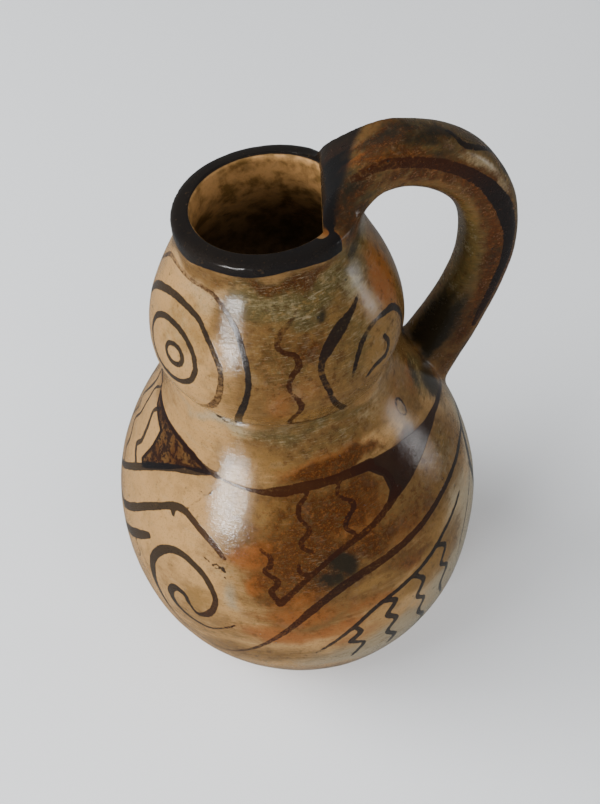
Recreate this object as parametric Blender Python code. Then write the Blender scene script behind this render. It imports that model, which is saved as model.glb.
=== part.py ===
"""A two-lobed jar of fired clay with one strap handle, hollow and open at the mouth.

The origin is the centre of the flat underside, +Z is up and the handle stands towards +X.
Lengths are in metres and angles in degrees. The body is a profile spun about Z, the handle is a
rounded section swept along three Bezier stretches, and the hollow is cut out of both at once, so
that the jar is one closed solid with a wall all round.
"""

import math

import bmesh
import bpy
from mathutils import Vector
from mathutils.geometry import interpolate_bezier

# Outside of the body: radii, and heights above the underside
FOOT_RADIUS = 0.0430
BELLY_RADIUS = 0.0820
BELLY_HEIGHT = 0.0740
WAIST_RADIUS = 0.0453
WAIST_HEIGHT = 0.1715
LOBE_RADIUS = 0.0494
RIM_RADIUS = 0.0338
RIM_LEAN = 0.0050

# The upper lobe: its height from waist to lip, the band under the lip, and how far up it is widest
UPPER_HEIGHT = 0.0690
LIP_BAND = 0.0085
LOBE_SHARE = 0.21

# How far each end of a profile stretch holds its own direction, as a share of the stretch's rise
FOOT_FLARE = (0.29, 0.09)
BELLY_FULLNESS = 0.56
SHOULDER_FULLNESS = 0.55
WAIST_HOLLOW = 0.24
LOBE_SOLE = 0.35
LOBE_FULLNESS = 0.46
NECK_HOLLOW = 0.22

# Clay thicknesses and the lip
WALL = 0.0065
FLOOR = 0.0070
LIP_WIDTH = 0.0070
LIP_ROUND = 0.0014

# The handle's root laps over the lip and flattens one side of the mouth
CHORD_INSET = 0.0073
CHORD_DEPTH = 0.0130
CHORD_TURN = -17.0

# The handle's place: the gap behind it for fingers, the rise of its middle above the lip, the drop
# from the waist to its foot, and how far its plane is turned from +X at root and foot
FINGER_GAP = 0.0290
CROWN_RISE = 0.0080
FOOT_DROP = 0.0440
ROOT_TURN = -8.0
FOOT_TURN = 9.0

# The handle's line: shares that place its crown along the reach and its widest point between foot
# and crown, and how far it holds its direction at each knot
CROWN_SHARE = 0.325
REACH_SHARE = 0.50
ROOT_PULL = (0.40, 0.16)
CROWN_PULLS = (0.40, 0.52)
REACH_PULLS = (0.61, 0.35)
FOOT_PULL = (0.17, 0.235)
FOOT_BURIED = (0.7, 0.9)

# The handle's section: half sizes at the root, along the grip and at the foot
ROOT_HALF_WIDTH = 0.0275
ROOT_HALF_DEPTH = 0.0120
GRIP_HALF_WIDTH = 0.0114
GRIP_HALF_DEPTH = 0.0111
FOOT_HALF_WIDTH = 0.0165
FOOT_HALF_DEPTH = 0.0142
ROOT_SPREAD = 0.25
FOOT_SPREAD = 0.37
INNER_TAPER = 0.26
SECTION_POWER = 0.80

# Facets
BODY_SEGMENTS = 56
HOLLOW_SEGMENTS = 44
HANDLE_SEGMENTS = 18
STRETCH_STEPS = {"foot": 9, "shoulder": 12, "sole": 4, "lobe": 9}
HANDLE_STEPS = (8, 12, 14)
ROUND_STEPS = 3
SHARP_ANGLE = 50.0
MERGE_DISTANCE = 1e-6

CLAY_COLOUR = (0.52, 0.33, 0.17, 1.0)
CLAY_ROUGHNESS = 0.38

# Worked out from the sizes above
RIM_HEIGHT = WAIST_HEIGHT + UPPER_HEIGHT
NECK_HEIGHT = RIM_HEIGHT - LIP_BAND
LOBE_HEIGHT = WAIST_HEIGHT + LOBE_SHARE * UPPER_HEIGHT
MOUTH_RADIUS = RIM_RADIUS - LIP_WIDTH
CHORD_DISTANCE = MOUTH_RADIUS - CHORD_INSET
CROWN_HEIGHT = RIM_HEIGHT + CROWN_RISE
HANDLE_FOOT_HEIGHT = WAIST_HEIGHT - FOOT_DROP
REACH = LOBE_RADIUS + FINGER_GAP + GRIP_HALF_DEPTH
UP = Vector((0.0, 0.0, 1.0))


def stretch(start, start_pull, end, end_pull, steps):
    """Points of one Bezier stretch, from start up to and including end."""
    first = start + Vector(start_pull)
    last = end + Vector(end_pull)
    return [point.copy() for point in interpolate_bezier(start, first, last, end, steps + 1)]


def outer_profile():
    """(radius, height) points of the outside, from the edge of the underside up to the neck."""
    foot = Vector((FOOT_RADIUS, 0.0))
    belly = Vector((BELLY_RADIUS, BELLY_HEIGHT))
    waist = Vector((WAIST_RADIUS, WAIST_HEIGHT))
    lobe = Vector((LOBE_RADIUS, LOBE_HEIGHT))
    neck = Vector((RIM_RADIUS, NECK_HEIGHT))
    shoulder = WAIST_HEIGHT - BELLY_HEIGHT
    sole = LOBE_HEIGHT - WAIST_HEIGHT
    crest = NECK_HEIGHT - LOBE_HEIGHT
    points = stretch(
        foot,
        Vector(FOOT_FLARE) * BELLY_HEIGHT,
        belly,
        (0.0, -BELLY_FULLNESS * BELLY_HEIGHT),
        STRETCH_STEPS["foot"],
    )
    points += stretch(
        belly,
        (0.0, SHOULDER_FULLNESS * shoulder),
        waist,
        (0.0, -WAIST_HOLLOW * shoulder),
        STRETCH_STEPS["shoulder"],
    )[1:]
    points += stretch(
        waist,
        (0.0, LOBE_SOLE * sole),
        lobe,
        (0.0, -LOBE_SOLE * sole),
        STRETCH_STEPS["sole"],
    )[1:]
    points += stretch(
        lobe,
        (0.0, LOBE_FULLNESS * crest),
        neck,
        (0.0, -NECK_HOLLOW * crest),
        STRETCH_STEPS["lobe"],
    )[1:]
    return points


def radius_at(height):
    """Radius of the outside at a height, between two points of the profile."""
    points = outer_profile()
    for low, high in zip(points, points[1:]):
        if low.y <= height <= high.y:
            share = (height - low.y) / (high.y - low.y)
            return low.x + share * (high.x - low.x)
    return RIM_RADIUS


def quarter_round(centre, start_angle, end_angle, radius):
    """Points of a small arc, its two ends included."""
    points = []
    for i in range(ROUND_STEPS + 1):
        angle = math.radians(start_angle + (end_angle - start_angle) * i / ROUND_STEPS)
        points.append(centre + radius * Vector((math.cos(angle), math.sin(angle))))
    return points


def offset_inward(points, distance):
    """The same curve moved towards the hollow, at right angles to itself."""
    moved = []
    for i, point in enumerate(points):
        before = points[max(i - 1, 0)]
        after = points[min(i + 1, len(points) - 1)]
        along = (after - before).normalized()
        moved.append(point + distance * Vector((-along.y, along.x)))
    return moved


def solid_profile():
    """The body as if it were solid: from the axis below, up the outside and over the lip."""
    edge = Vector((RIM_RADIUS - LIP_ROUND, RIM_HEIGHT - LIP_ROUND))
    return (
        [Vector((0.0, 0.0))]
        + outer_profile()
        + quarter_round(edge, 0, 90, LIP_ROUND)
        + [Vector((0.0, RIM_HEIGHT))]
    )


def hollow_profile():
    """The space inside: from the axis on the floor, up the inner wall and out past the handle."""
    inside = [p for p in offset_inward(outer_profile(), WALL) if FLOOR < p.y < NECK_HEIGHT]
    floor_edge = Vector((inside[0].x - WALL / 2, FLOOR))
    lip_edge = Vector((MOUTH_RADIUS + LIP_ROUND, RIM_HEIGHT - LIP_ROUND))
    past_handle = CROWN_HEIGHT + 2 * GRIP_HALF_DEPTH
    return (
        [Vector((0.0, FLOOR)), floor_edge]
        + inside
        + quarter_round(lip_edge, 180, 90, LIP_ROUND)
        + [Vector((lip_edge.x, past_handle)), Vector((0.0, past_handle))]
    )


def new_object(name, mesh):
    """Makes the bmesh an object with its faces pointing out."""
    bmesh.ops.recalc_face_normals(mesh, faces=mesh.faces)
    data = bpy.data.meshes.new(name)
    mesh.to_mesh(data)
    mesh.free()
    made = bpy.data.objects.new(name, data)
    bpy.context.scene.collection.objects.link(made)
    return made


def spun(profile, segments):
    """A closed bmesh turned from a profile whose two ends lie on the axis."""
    mesh = bmesh.new()
    verts = [mesh.verts.new((p.x, 0.0, p.y)) for p in profile]
    edges = [mesh.edges.new(pair) for pair in zip(verts, verts[1:])]
    bmesh.ops.spin(
        mesh,
        geom=verts + edges,
        cent=(0.0, 0.0, 0.0),
        axis=UP,
        angle=math.tau,
        steps=segments,
        use_merge=True,
    )
    bmesh.ops.remove_doubles(mesh, verts=mesh.verts, dist=MERGE_DISTANCE)
    return mesh


def lean(mesh):
    """Moves the upper parts towards the handle, as the hand-built body leans."""
    for vert in mesh.verts:
        vert.co.x += RIM_LEAN * (vert.co.z / RIM_HEIGHT) ** 2


def flatten_mouth(mesh):
    """Brings the hollow's top back to a straight chord beside the handle's root."""
    turn = math.radians(CHORD_TURN)
    towards = Vector((math.cos(turn), math.sin(turn), 0.0))
    for vert in mesh.verts:
        beyond = vert.co.dot(towards) - CHORD_DISTANCE
        if beyond > 0 and vert.co.z > RIM_HEIGHT - CHORD_DEPTH:
            vert.co -= beyond * towards


def handle_centreline():
    """(distance from the axis, height) points: out of the lip, over the crown, down to the shoulder."""
    root = Vector((CHORD_DISTANCE - WALL, RIM_HEIGHT - ROOT_HALF_DEPTH / 2))
    crown = Vector((CROWN_SHARE * (RIM_RADIUS + REACH), CROWN_HEIGHT))
    middle_height = HANDLE_FOOT_HEIGHT + REACH_SHARE * (CROWN_HEIGHT - HANDLE_FOOT_HEIGHT)
    outermost = Vector((REACH, middle_height))
    on_shoulder = Vector((radius_at(HANDLE_FOOT_HEIGHT), HANDLE_FOOT_HEIGHT))
    foot = on_shoulder - WALL * Vector(FOOT_BURIED)
    lead = crown.x - root.x
    drop = outermost.y - foot.y
    points = stretch(
        root,
        Vector(ROOT_PULL) * lead,
        crown,
        (-CROWN_PULLS[0] * lead, 0.0),
        HANDLE_STEPS[0],
    )
    points += stretch(
        crown,
        (CROWN_PULLS[1] * (outermost.x - crown.x), 0.0),
        outermost,
        (0.0, REACH_PULLS[0] * (crown.y - outermost.y)),
        HANDLE_STEPS[1],
    )[1:]
    points += stretch(
        outermost,
        (0.0, -REACH_PULLS[1] * drop),
        foot,
        Vector(FOOT_PULL) * drop,
        HANDLE_STEPS[2],
    )[1:]
    return points


def spread(share, reach):
    """1 at an end of the handle, falling smoothly to 0 at the given share of its length."""
    return max(0.0, 1.0 - share / reach) ** 2


def half_sizes(share):
    """Half width and half depth of the section at a share of the handle's length."""
    root = spread(share, ROOT_SPREAD)
    foot = spread(1.0 - share, FOOT_SPREAD)
    width = (
        GRIP_HALF_WIDTH
        + root * (ROOT_HALF_WIDTH - GRIP_HALF_WIDTH)
        + foot * (FOOT_HALF_WIDTH - GRIP_HALF_WIDTH)
    )
    depth = (
        GRIP_HALF_DEPTH
        + root * (ROOT_HALF_DEPTH - GRIP_HALF_DEPTH)
        + foot * (FOOT_HALF_DEPTH - GRIP_HALF_DEPTH)
    )
    return width, depth


def squared_up(value):
    """A cosine or sine raised to the section's power, which flattens a round section a little."""
    return math.copysign(abs(value) ** SECTION_POWER, value)


def handle_section(half_width, half_depth):
    """(across, outward) points of a rounded section that is narrower on the side near the body."""
    points = []
    for i in range(HANDLE_SEGMENTS):
        angle = math.tau * i / HANDLE_SEGMENTS
        across = squared_up(math.cos(angle))
        outward = squared_up(math.sin(angle))
        narrowing = 1.0 - INNER_TAPER * (1.0 - outward) / 2.0
        points.append((half_width * narrowing * across, half_depth * outward))
    return points


def handle_mesh():
    """The handle as one closed bmesh, with both ends inside the body's clay."""
    centres = handle_centreline()
    lengths = [0.0]
    for before, after in zip(centres, centres[1:]):
        lengths.append(lengths[-1] + (after - before).length)
    mesh = bmesh.new()
    rings = []
    for i, centre in enumerate(centres):
        share = lengths[i] / lengths[-1]
        along = (centres[min(i + 1, len(centres) - 1)] - centres[max(i - 1, 0)]).normalized()
        turn = math.radians(ROOT_TURN + (FOOT_TURN - ROOT_TURN) * share)
        radial = Vector((math.cos(turn), math.sin(turn), 0.0))
        sideways = UP.cross(radial)
        outward = along.x * UP - along.y * radial
        middle = centre.x * radial + centre.y * UP
        section = handle_section(*half_sizes(share))
        rings.append([mesh.verts.new(middle + a * sideways + o * outward) for a, o in section])
    for lower, upper in zip(rings, rings[1:]):
        for j in range(HANDLE_SEGMENTS):
            k = (j + 1) % HANDLE_SEGMENTS
            mesh.faces.new((lower[j], lower[k], upper[k], upper[j]))
    mesh.faces.new(rings[0])
    mesh.faces.new(rings[-1])
    return mesh


def add_boolean(target, operand, operation):
    """Joins or cuts with an object that is itself left out of the part."""
    modifier = target.modifiers.new(operation.title() + " " + operand.name, "BOOLEAN")
    modifier.object = operand
    modifier.operation = operation
    modifier.solver = "EXACT"
    operand.hide_render = True
    operand.display_type = "WIRE"


def clay():
    """Burnished tan clay."""
    material = bpy.data.materials.new("clay")
    material.use_nodes = True
    shader = material.node_tree.nodes["Principled BSDF"]
    shader.inputs["Base Color"].default_value = CLAY_COLOUR
    shader.inputs["Roughness"].default_value = CLAY_ROUGHNESS
    shader.inputs["Metallic"].default_value = 0.0
    return material


def main():
    for old in list(bpy.data.objects):
        bpy.data.objects.remove(old)
    body = spun(solid_profile(), BODY_SEGMENTS)
    hollow = spun(hollow_profile(), HOLLOW_SEGMENTS)
    flatten_mouth(hollow)
    handle = handle_mesh()
    for mesh in (body, hollow, handle):
        lean(mesh)
    jar = new_object("jar", body)
    add_boolean(jar, new_object("handle_form", handle), "UNION")
    add_boolean(jar, new_object("hollow_form", hollow), "DIFFERENCE")
    jar.data.materials.append(clay())
    jar.data.shade_smooth()
    jar.data.set_sharp_from_angle(angle=math.radians(SHARP_ANGLE))


main()
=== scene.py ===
"""Burnished two-lobe jar with brushed slip ornament, built round the packed model.

Lengths are in metres in the frame of the packed model. The brushwork is laid out as on the pot
itself: in degrees round the leaning axis, where 0 is towards the handle, and in millimetres above
the underside. Brush widths are in millimetres.
"""

import math

import bmesh
import bpy
import numpy as np
from bpy.props import FloatProperty, FloatVectorProperty, PointerProperty
from bpy.types import Operator, Panel, PropertyGroup
from mathutils import Matrix, Vector
from mathutils.geometry import interpolate_bezier


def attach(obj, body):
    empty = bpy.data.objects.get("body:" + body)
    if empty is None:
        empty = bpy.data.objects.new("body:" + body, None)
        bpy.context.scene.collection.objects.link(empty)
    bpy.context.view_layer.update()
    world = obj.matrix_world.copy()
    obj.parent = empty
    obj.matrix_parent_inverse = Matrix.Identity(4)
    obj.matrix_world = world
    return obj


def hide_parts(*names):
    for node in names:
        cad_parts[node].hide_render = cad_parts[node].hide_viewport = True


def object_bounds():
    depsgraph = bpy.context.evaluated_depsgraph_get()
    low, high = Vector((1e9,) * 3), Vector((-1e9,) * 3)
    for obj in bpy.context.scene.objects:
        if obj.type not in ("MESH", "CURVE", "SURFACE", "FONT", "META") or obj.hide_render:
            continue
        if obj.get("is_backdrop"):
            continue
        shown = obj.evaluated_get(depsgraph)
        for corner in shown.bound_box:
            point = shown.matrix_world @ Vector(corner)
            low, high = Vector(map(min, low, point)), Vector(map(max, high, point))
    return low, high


bl_info = {
    "name": "Two-lobe jar",
    "version": (1, 0, 0),
    "blender": (4, 5, 0),
    "location": "3D View > Sidebar > Jar",
    "description": "Models, paints and lights a burnished two-lobe jar with a strap handle",
    "category": "Add Mesh",
}

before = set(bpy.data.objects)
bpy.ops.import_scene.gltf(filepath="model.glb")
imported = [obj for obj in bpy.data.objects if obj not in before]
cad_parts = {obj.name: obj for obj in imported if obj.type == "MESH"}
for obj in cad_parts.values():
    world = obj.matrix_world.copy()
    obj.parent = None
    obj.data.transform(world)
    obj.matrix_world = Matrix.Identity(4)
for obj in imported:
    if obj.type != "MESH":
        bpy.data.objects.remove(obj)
cad_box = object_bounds()
bpy.ops.object.select_all(action="DESELECT")

MILLIMETRE = 0.001
UP = Vector((0, 0, 1))

# Shares that give the outline its fullness, as in the part
FOOT_FLARE = (0.29, 0.09)
BELLY_FULLNESS = 0.56
SHOULDER_FULLNESS = 0.55
WAIST_HOLLOW = 0.24
LOBE_SHARE = 0.21
LOBE_SOLE = 0.35
LOBE_FULLNESS = 0.46
NECK_HOLLOW = 0.22
LIP_BAND = 0.0085
LIP_ROUND = 0.0014

# The flat side of the mouth beside the handle's root
CHORD_INSET = 0.0073
CHORD_DEPTH = 0.0130
CHORD_TURN = -17

# The handle's line and how its section spreads at both ends
ROOT_TURN = -8
FOOT_TURN = 9
CROWN_SHARE = 0.325
REACH_SHARE = 0.50
ROOT_PULL = (0.40, 0.16)
CROWN_PULLS = (0.40, 0.52)
REACH_PULLS = (0.61, 0.35)
FOOT_PULL = (0.17, 0.235)
FOOT_BURIED = (0.7, 0.9)
ROOT_HALF_SIZES = (0.0275, 0.0120)
FOOT_HALF_SIZES = (0.0165, 0.0142)
ROOT_SPREAD = 0.25
FOOT_SPREAD = 0.37
INNER_TAPER = 0.26
SECTION_POWER = 0.80
INNER_POWER = 0.50

# How finely the clay is modelled
OUTLINE_STEPS = (40, 56, 12, 32)
HANDLE_STEPS = (14, 24, 28)
TURNING_STEPS = 256
TURNING_MERGE = 1e-6
HOLLOW_STEPS = 104
SECTION_POINTS = 48
CLAY_GRAIN = 0.00128
CLAY_SMOOTHING = 4
DOUBLE_REACH = 1e-5
LOW_CLAY = (0.037, 0.045)
LOW_CLAY_KEPT = 0.82
SHARP_FROM = math.radians(50)

# The soft joints of the handle, and the lip that stays crisp inside its root
ROOT_JOINT = (0.016, -0.002, -0.004)
ROOT_JOINT_STRETCH = (1, 0.75, 1)
ROOT_JOINT_REACH = (0.014, 0.026)
FOOT_JOINT = (0.010, 0, 0.004)
FOOT_JOINT_REACH = (0.014, 0.024)
JOINT_SMOOTHING = 16
LIP_KEPT = 0.0025
LIP_KEPT_TO = 0.022

# The rise from the lip to the top of the handle's root
RAMP_START = 0.001
RAMP_LENGTH = 0.030
RAMP_RISE = 0.0175
RAMP_POWER = 0.45
RAMP_CLEARANCE = 0.0003
RAMP_SHARE = 0.96

# Hand marks: size and height of each kind, and the heights between which they grow to full
HAND_MARKS = ((0.045, 0.0011), (0.016, 0.00035))
MARKS_FROM = (0.003, 0.012)

# The fold at the waist in millimetres; the swell above it and the hollow below it have a middle,
# a width and a height
FOLD_WANDER = 1.2
FOLD_PHASE = 0.6
FOLD_WIDTH = 1.4
FOLD_DEPTH = 0.85
FOLD_DEEPER = 0.35
FOLD_TURN = 2.2
FOLD_SWELL = (5.5, 3.5, 0.35)
FOLD_HOLLOW = (-5, 4, -0.1)
FOLD_REACH = 6

# How the brushwork is measured
BRUSH_REACH = 5.0
KEPT_REACH = 6
FAR_AWAY = 99.0
TINY = 1e-9
NEAREST_AXIS = 0.02
HANDLE_FROM = 0.0002
HANDLE_BLEND = 0.003
WAVE_LEAD = 0.35
RING_POINTS = 13
CLOUD_SWAY = (2.4, 1.8)
CLOUD_EDGE = 1.4

# The lip's slip: depth in millimetres, its waver (height, waves round, phase in degrees), its reach
# over the inner edge, its pale chip, and how far it runs onto the handle's root: places along the
# flat side in metres, each with the reach there in millimetres
LIP_SLIP = 5
LIP_WAVER = ((0.8, 3, 40), (0.5, 7, 0))
INNER_SLIP = 0.4
INNER_FROM = 1
CHIP_PLACE = (-0.0005, -0.02)
CHIP_RADIUS = 2.4
ROOT_SLIP = (
    (-0.032, 13), (-0.026, 9), (-0.019, 3.5), (-0.01, 5.5), (0, 9.5), (0.008, 11), (0.014, 13),
    (0.022, 17),
)

# Soft lights: name, setting of its power, direction, distance, size, and whether the gloss shows it
LIGHT_AIM = (0, 0, 0.12)
LIGHTS = (
    ("left window", "window_power", (-0.83, -0.54, 0.132), 1.3, (0.38, 0.08), True),
    ("right window", "right_power", (0.955, -0.27, -0.06), 1.3, (0.24, 0.08), True),
    ("light above", "sky_power", (-0.75, 0.1, 0.9), 2.2, (1.8, 1.8), False),
    ("light behind", "back_power", (-0.85, 0.5, 0.45), 2, (1.4, 1), False),
    ("light ahead", "front_power", (0.1, -0.8, 0.75), 2.2, (1.8, 1.4), False),
    ("light beside", "side_power", (0.9, -0.3, 0.25), 1.8, (1.2, 0.8), False),
)
ROOM_COLOUR = (0.95, 0.98, 1, 1)
FLOOR_SIZE = 12

# The camera: turn, fall and roll in degrees, what it looks at, and its move across and up
CAMERA_ANGLES = (-12, 49.56, 8)
CAMERA_AIM = (0, 0, 0.12025)
CAMERA_SHIFT = (-0.0134, -0.0203)


def length_property(name, description, default):
    return FloatProperty(
        name=name, description=description, default=default, unit="LENGTH", precision=4
    )


def colour_property(name, description, default):
    return FloatVectorProperty(
        name=name, description=description, default=default, subtype="COLOR", min=0.0, max=1.0
    )


def power_property(name, description, default):
    return FloatProperty(name=name, description=description, default=default, unit="POWER")


class JarSizes(PropertyGroup):
    """Sizes of the clay body and its handle."""

    foot_radius: length_property("Foot radius", "Radius of the flat underside", 0.0430)
    belly_radius: length_property("Belly radius", "Largest radius of the lower lobe", 0.0820)
    belly_height: length_property("Belly height", "Height of the widest place", 0.0740)
    waist_radius: length_property("Waist radius", "Radius between the two lobes", 0.0453)
    waist_height: length_property("Waist height", "Height of the waist", 0.1715)
    lobe_radius: length_property("Upper lobe radius", "Largest radius of the upper lobe", 0.0494)
    upper_height: length_property("Upper height", "Height from the waist to the lip", 0.0690)
    rim_radius: length_property("Rim radius", "Outer radius of the lip", 0.0338)
    rim_lean: length_property("Rim lean", "How far the lip stands towards the handle", 0.0050)
    wall: length_property("Wall", "Thickness of the clay wall", 0.0065)
    floor: length_property("Floor", "Thickness of the clay under the hollow", 0.0070)
    lip_width: length_property("Lip width", "Width of the flat lip", 0.0070)
    finger_gap: length_property("Finger gap", "Room between upper lobe and handle", 0.0290)
    crown_rise: length_property("Crown rise", "Rise of the handle above the lip", 0.0080)
    foot_drop: length_property("Foot drop", "Drop from the waist to the handle's foot", 0.0440)
    grip_half_width: length_property("Grip half width", "Half the handle's width", 0.0114)
    grip_half_depth: length_property("Grip half depth", "Half the handle's depth", 0.0111)


class SlipColours(PropertyGroup):
    """Colours of the fired clay and of the slip painted on it."""

    # Grey, gold and worn also colour painted highlights, and smoke also colours painted shade
    cream: colour_property("Cream", "Pale burnished clay", (0.305, 0.175, 0.0665))
    grey: colour_property("Grey cream", "Pale clay on the cooler side", (0.235, 0.188, 0.117))
    tan: colour_property("Tan", "Warmer clay between the pale parts", (0.0885, 0.0457, 0.0133))
    olive: colour_property("Olive", "Grey-green clouding", (0.0525, 0.0425, 0.0145))
    gold: colour_property("Gold", "Yellow-brown clouding", (0.15, 0.081, 0.023))
    orange: colour_property("Orange", "Hot fire clouds", (0.165, 0.051, 0.0098))
    brown: colour_property("Brown", "Dark reddish fire clouds", (0.034, 0.0096, 0.0016))
    smoke_and_shade: colour_property("Smoke", "Smoke stains", (0.0125, 0.01, 0.006))
    black: colour_property("Black slip", "Slip of the lip and dark strokes", (0.0052, 0.005, 0.0054))
    rust: colour_property("Rust slip", "Slip where the fire turned it red", (0.024, 0.0062, 0.0016))
    bare: colour_property("Bare clay", "Clay inside the mouth", (0.46, 0.25, 0.092))
    worn: colour_property("Worn clay", "Pale rubbed places", (0.235, 0.19, 0.105))


class StudioLight(PropertyGroup):
    """Floor, lights and camera."""

    floor_tone: colour_property("Floor", "Plain pale floor", (0.82, 0.84, 0.865))
    window_power: power_property("Left window", "Power of the left window", 17)
    right_power: power_property("Right window", "Power of the right window", 1.7)
    sky_power: power_property("Above", "Power of the light above", 50)
    back_power: power_property("Behind", "Power of the light behind", 28)
    front_power: power_property("Ahead", "Power of the light ahead", 20)
    side_power: power_property("Beside", "Power of the light beside", 14)
    room_light: FloatProperty(name="Room", description="Strength of the room's light", default=0.2)
    lens: FloatProperty(name="Lens", description="Focal length", default=44.8, unit="CAMERA")
    camera_distance: length_property("Camera distance", "From the jar's middle", 0.438)


def lip_height(sizes):
    return sizes.waist_height + sizes.upper_height


def chord_distance(sizes):
    """From the axis to the flat side of the mouth."""
    return sizes.rim_radius - sizes.lip_width - CHORD_INSET


def flowing(stretches, steps):
    """The points of Bezier stretches that follow each other: start, its pull, end and its pull."""
    points = [stretches[0][0]]
    for (start, start_pull, end, end_pull), count in zip(stretches, steps):
        first = start + Vector(start_pull)
        last = end + Vector(end_pull)
        points += [p.copy() for p in interpolate_bezier(start, first, last, end, count + 1)][1:]
    return points


def outline(sizes):
    """(radius, height) points of the outside, from the edge of the underside up to the neck."""
    lobe_height = sizes.waist_height + LOBE_SHARE * sizes.upper_height
    neck_height = lip_height(sizes) - LIP_BAND
    foot = Vector((sizes.foot_radius, 0))
    belly = Vector((sizes.belly_radius, sizes.belly_height))
    waist = Vector((sizes.waist_radius, sizes.waist_height))
    lobe = Vector((sizes.lobe_radius, lobe_height))
    neck = Vector((sizes.rim_radius, neck_height))
    shoulder = sizes.waist_height - sizes.belly_height
    crest = neck_height - lobe_height
    flare = Vector(FOOT_FLARE) * sizes.belly_height
    sole_pull = Vector((0, LOBE_SOLE * (lobe_height - sizes.waist_height)))
    stretches = (
        (foot, flare, belly, (0, -BELLY_FULLNESS * sizes.belly_height)),
        (belly, (0, SHOULDER_FULLNESS * shoulder), waist, (0, -WAIST_HOLLOW * shoulder)),
        (waist, sole_pull, lobe, -sole_pull),
        (lobe, (0, LOBE_FULLNESS * crest), neck, (0, -NECK_HOLLOW * crest)),
    )
    return flowing(stretches, OUTLINE_STEPS)


def rounding(centre, start_angle, end_angle, steps=4):
    """Points of the lip's small rounding, its two ends included."""
    angles = np.radians(np.linspace(start_angle, end_angle, steps + 1))
    return [centre + LIP_ROUND * Vector((math.cos(a), math.sin(a))) for a in angles]


def solid_outline(sizes):
    """The body as if it were solid, from the axis below to the axis above."""
    top = lip_height(sizes)
    edge = Vector((sizes.rim_radius - LIP_ROUND, top - LIP_ROUND))
    lid = [Vector((edge.x * share, top)) for share in (0.8, 0.6, 0.4, 0.2, 0)]
    underside = [Vector((sizes.foot_radius * share, 0)) for share in (0, 0.3, 0.6, 0.85)]
    return underside + outline(sizes) + rounding(edge, 0, 90) + lid


def hollow_outline(sizes):
    """The space inside, from the axis on the floor, up the inner wall and out above the lip."""
    outside = outline(sizes)
    top = lip_height(sizes)
    inside = []
    for i, point in enumerate(outside):
        along = (outside[min(i + 1, len(outside) - 1)] - outside[max(i - 1, 0)]).normalized()
        moved = point + sizes.wall * Vector((-along.y, along.x))
        if sizes.floor < moved.y < top - LIP_BAND:
            inside.append(moved)
    edge = Vector((sizes.rim_radius - sizes.lip_width + LIP_ROUND, top - LIP_ROUND))
    floor_edge = Vector((inside[0].x - sizes.wall / 2, sizes.floor))
    floor = [Vector((floor_edge.x * share, sizes.floor)) for share in (0, 0.35, 0.7)]
    past_handle = top + sizes.crown_rise + 2 * sizes.grip_half_depth
    above = [Vector((edge.x, past_handle)), Vector((0, past_handle))]
    return floor + [floor_edge] + inside[::2] + rounding(edge, 180, 90) + above


def face_outwards():
    """Turns the faces of the piece in edit mode outwards and leaves that mode."""
    bpy.ops.mesh.select_all(action="SELECT")
    bpy.ops.mesh.normals_make_consistent(inside=False)
    bpy.ops.mesh.select_all(action="DESELECT")
    bpy.ops.object.mode_set(mode="OBJECT")


def turned(name, points, steps):
    """A closed form turned about Z from (radius, height) points whose two ends lie on the axis."""
    bpy.ops.curve.primitive_bezier_curve_add()
    drawn = bpy.context.object
    drawn.name = name
    drawn.data.splines.clear()
    line = drawn.data.splines.new("POLY")
    line.points.add(len(points) - 1)
    for knot, point in zip(line.points, points):
        knot.co = (point.x, 0, point.y, 1)
    bpy.ops.object.convert(target="MESH")
    bpy.ops.object.mode_set(mode="EDIT")
    bpy.ops.mesh.select_all(action="SELECT")
    bpy.ops.mesh.spin(steps=steps, angle=math.tau, center=(0, 0, 0), axis=UP)
    bpy.ops.mesh.select_all(action="SELECT")
    bpy.ops.mesh.remove_doubles(threshold=TURNING_MERGE)
    face_outwards()
    return bpy.context.object


def handle_line(sizes):
    """(distance from the axis, height) points: out of the lip, over the crown, to the shoulder."""
    reach = sizes.lobe_radius + sizes.finger_gap + sizes.grip_half_depth
    crown_height = lip_height(sizes) + sizes.crown_rise
    foot_height = sizes.waist_height - sizes.foot_drop
    root_height = lip_height(sizes) - ROOT_HALF_SIZES[1] / 2
    root = Vector((chord_distance(sizes) - sizes.wall, root_height))
    crown = Vector((CROWN_SHARE * (sizes.rim_radius + reach), crown_height))
    outermost = Vector((reach, foot_height + REACH_SHARE * (crown_height - foot_height)))
    radii, heights = zip(*outline(sizes))
    on_shoulder = Vector((float(np.interp(foot_height, heights, radii)), foot_height))
    foot = on_shoulder - sizes.wall * Vector(FOOT_BURIED)
    lead = crown.x - root.x
    span = outermost.x - crown.x
    rise = crown.y - outermost.y
    drop = outermost.y - foot.y
    stretches = (
        (root, Vector(ROOT_PULL) * lead, crown, (-CROWN_PULLS[0] * lead, 0)),
        (crown, (CROWN_PULLS[1] * span, 0), outermost, (0, REACH_PULLS[0] * rise)),
        (outermost, (0, -REACH_PULLS[1] * drop), foot, Vector(FOOT_PULL) * drop),
    )
    return flowing(stretches, HANDLE_STEPS)


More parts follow.
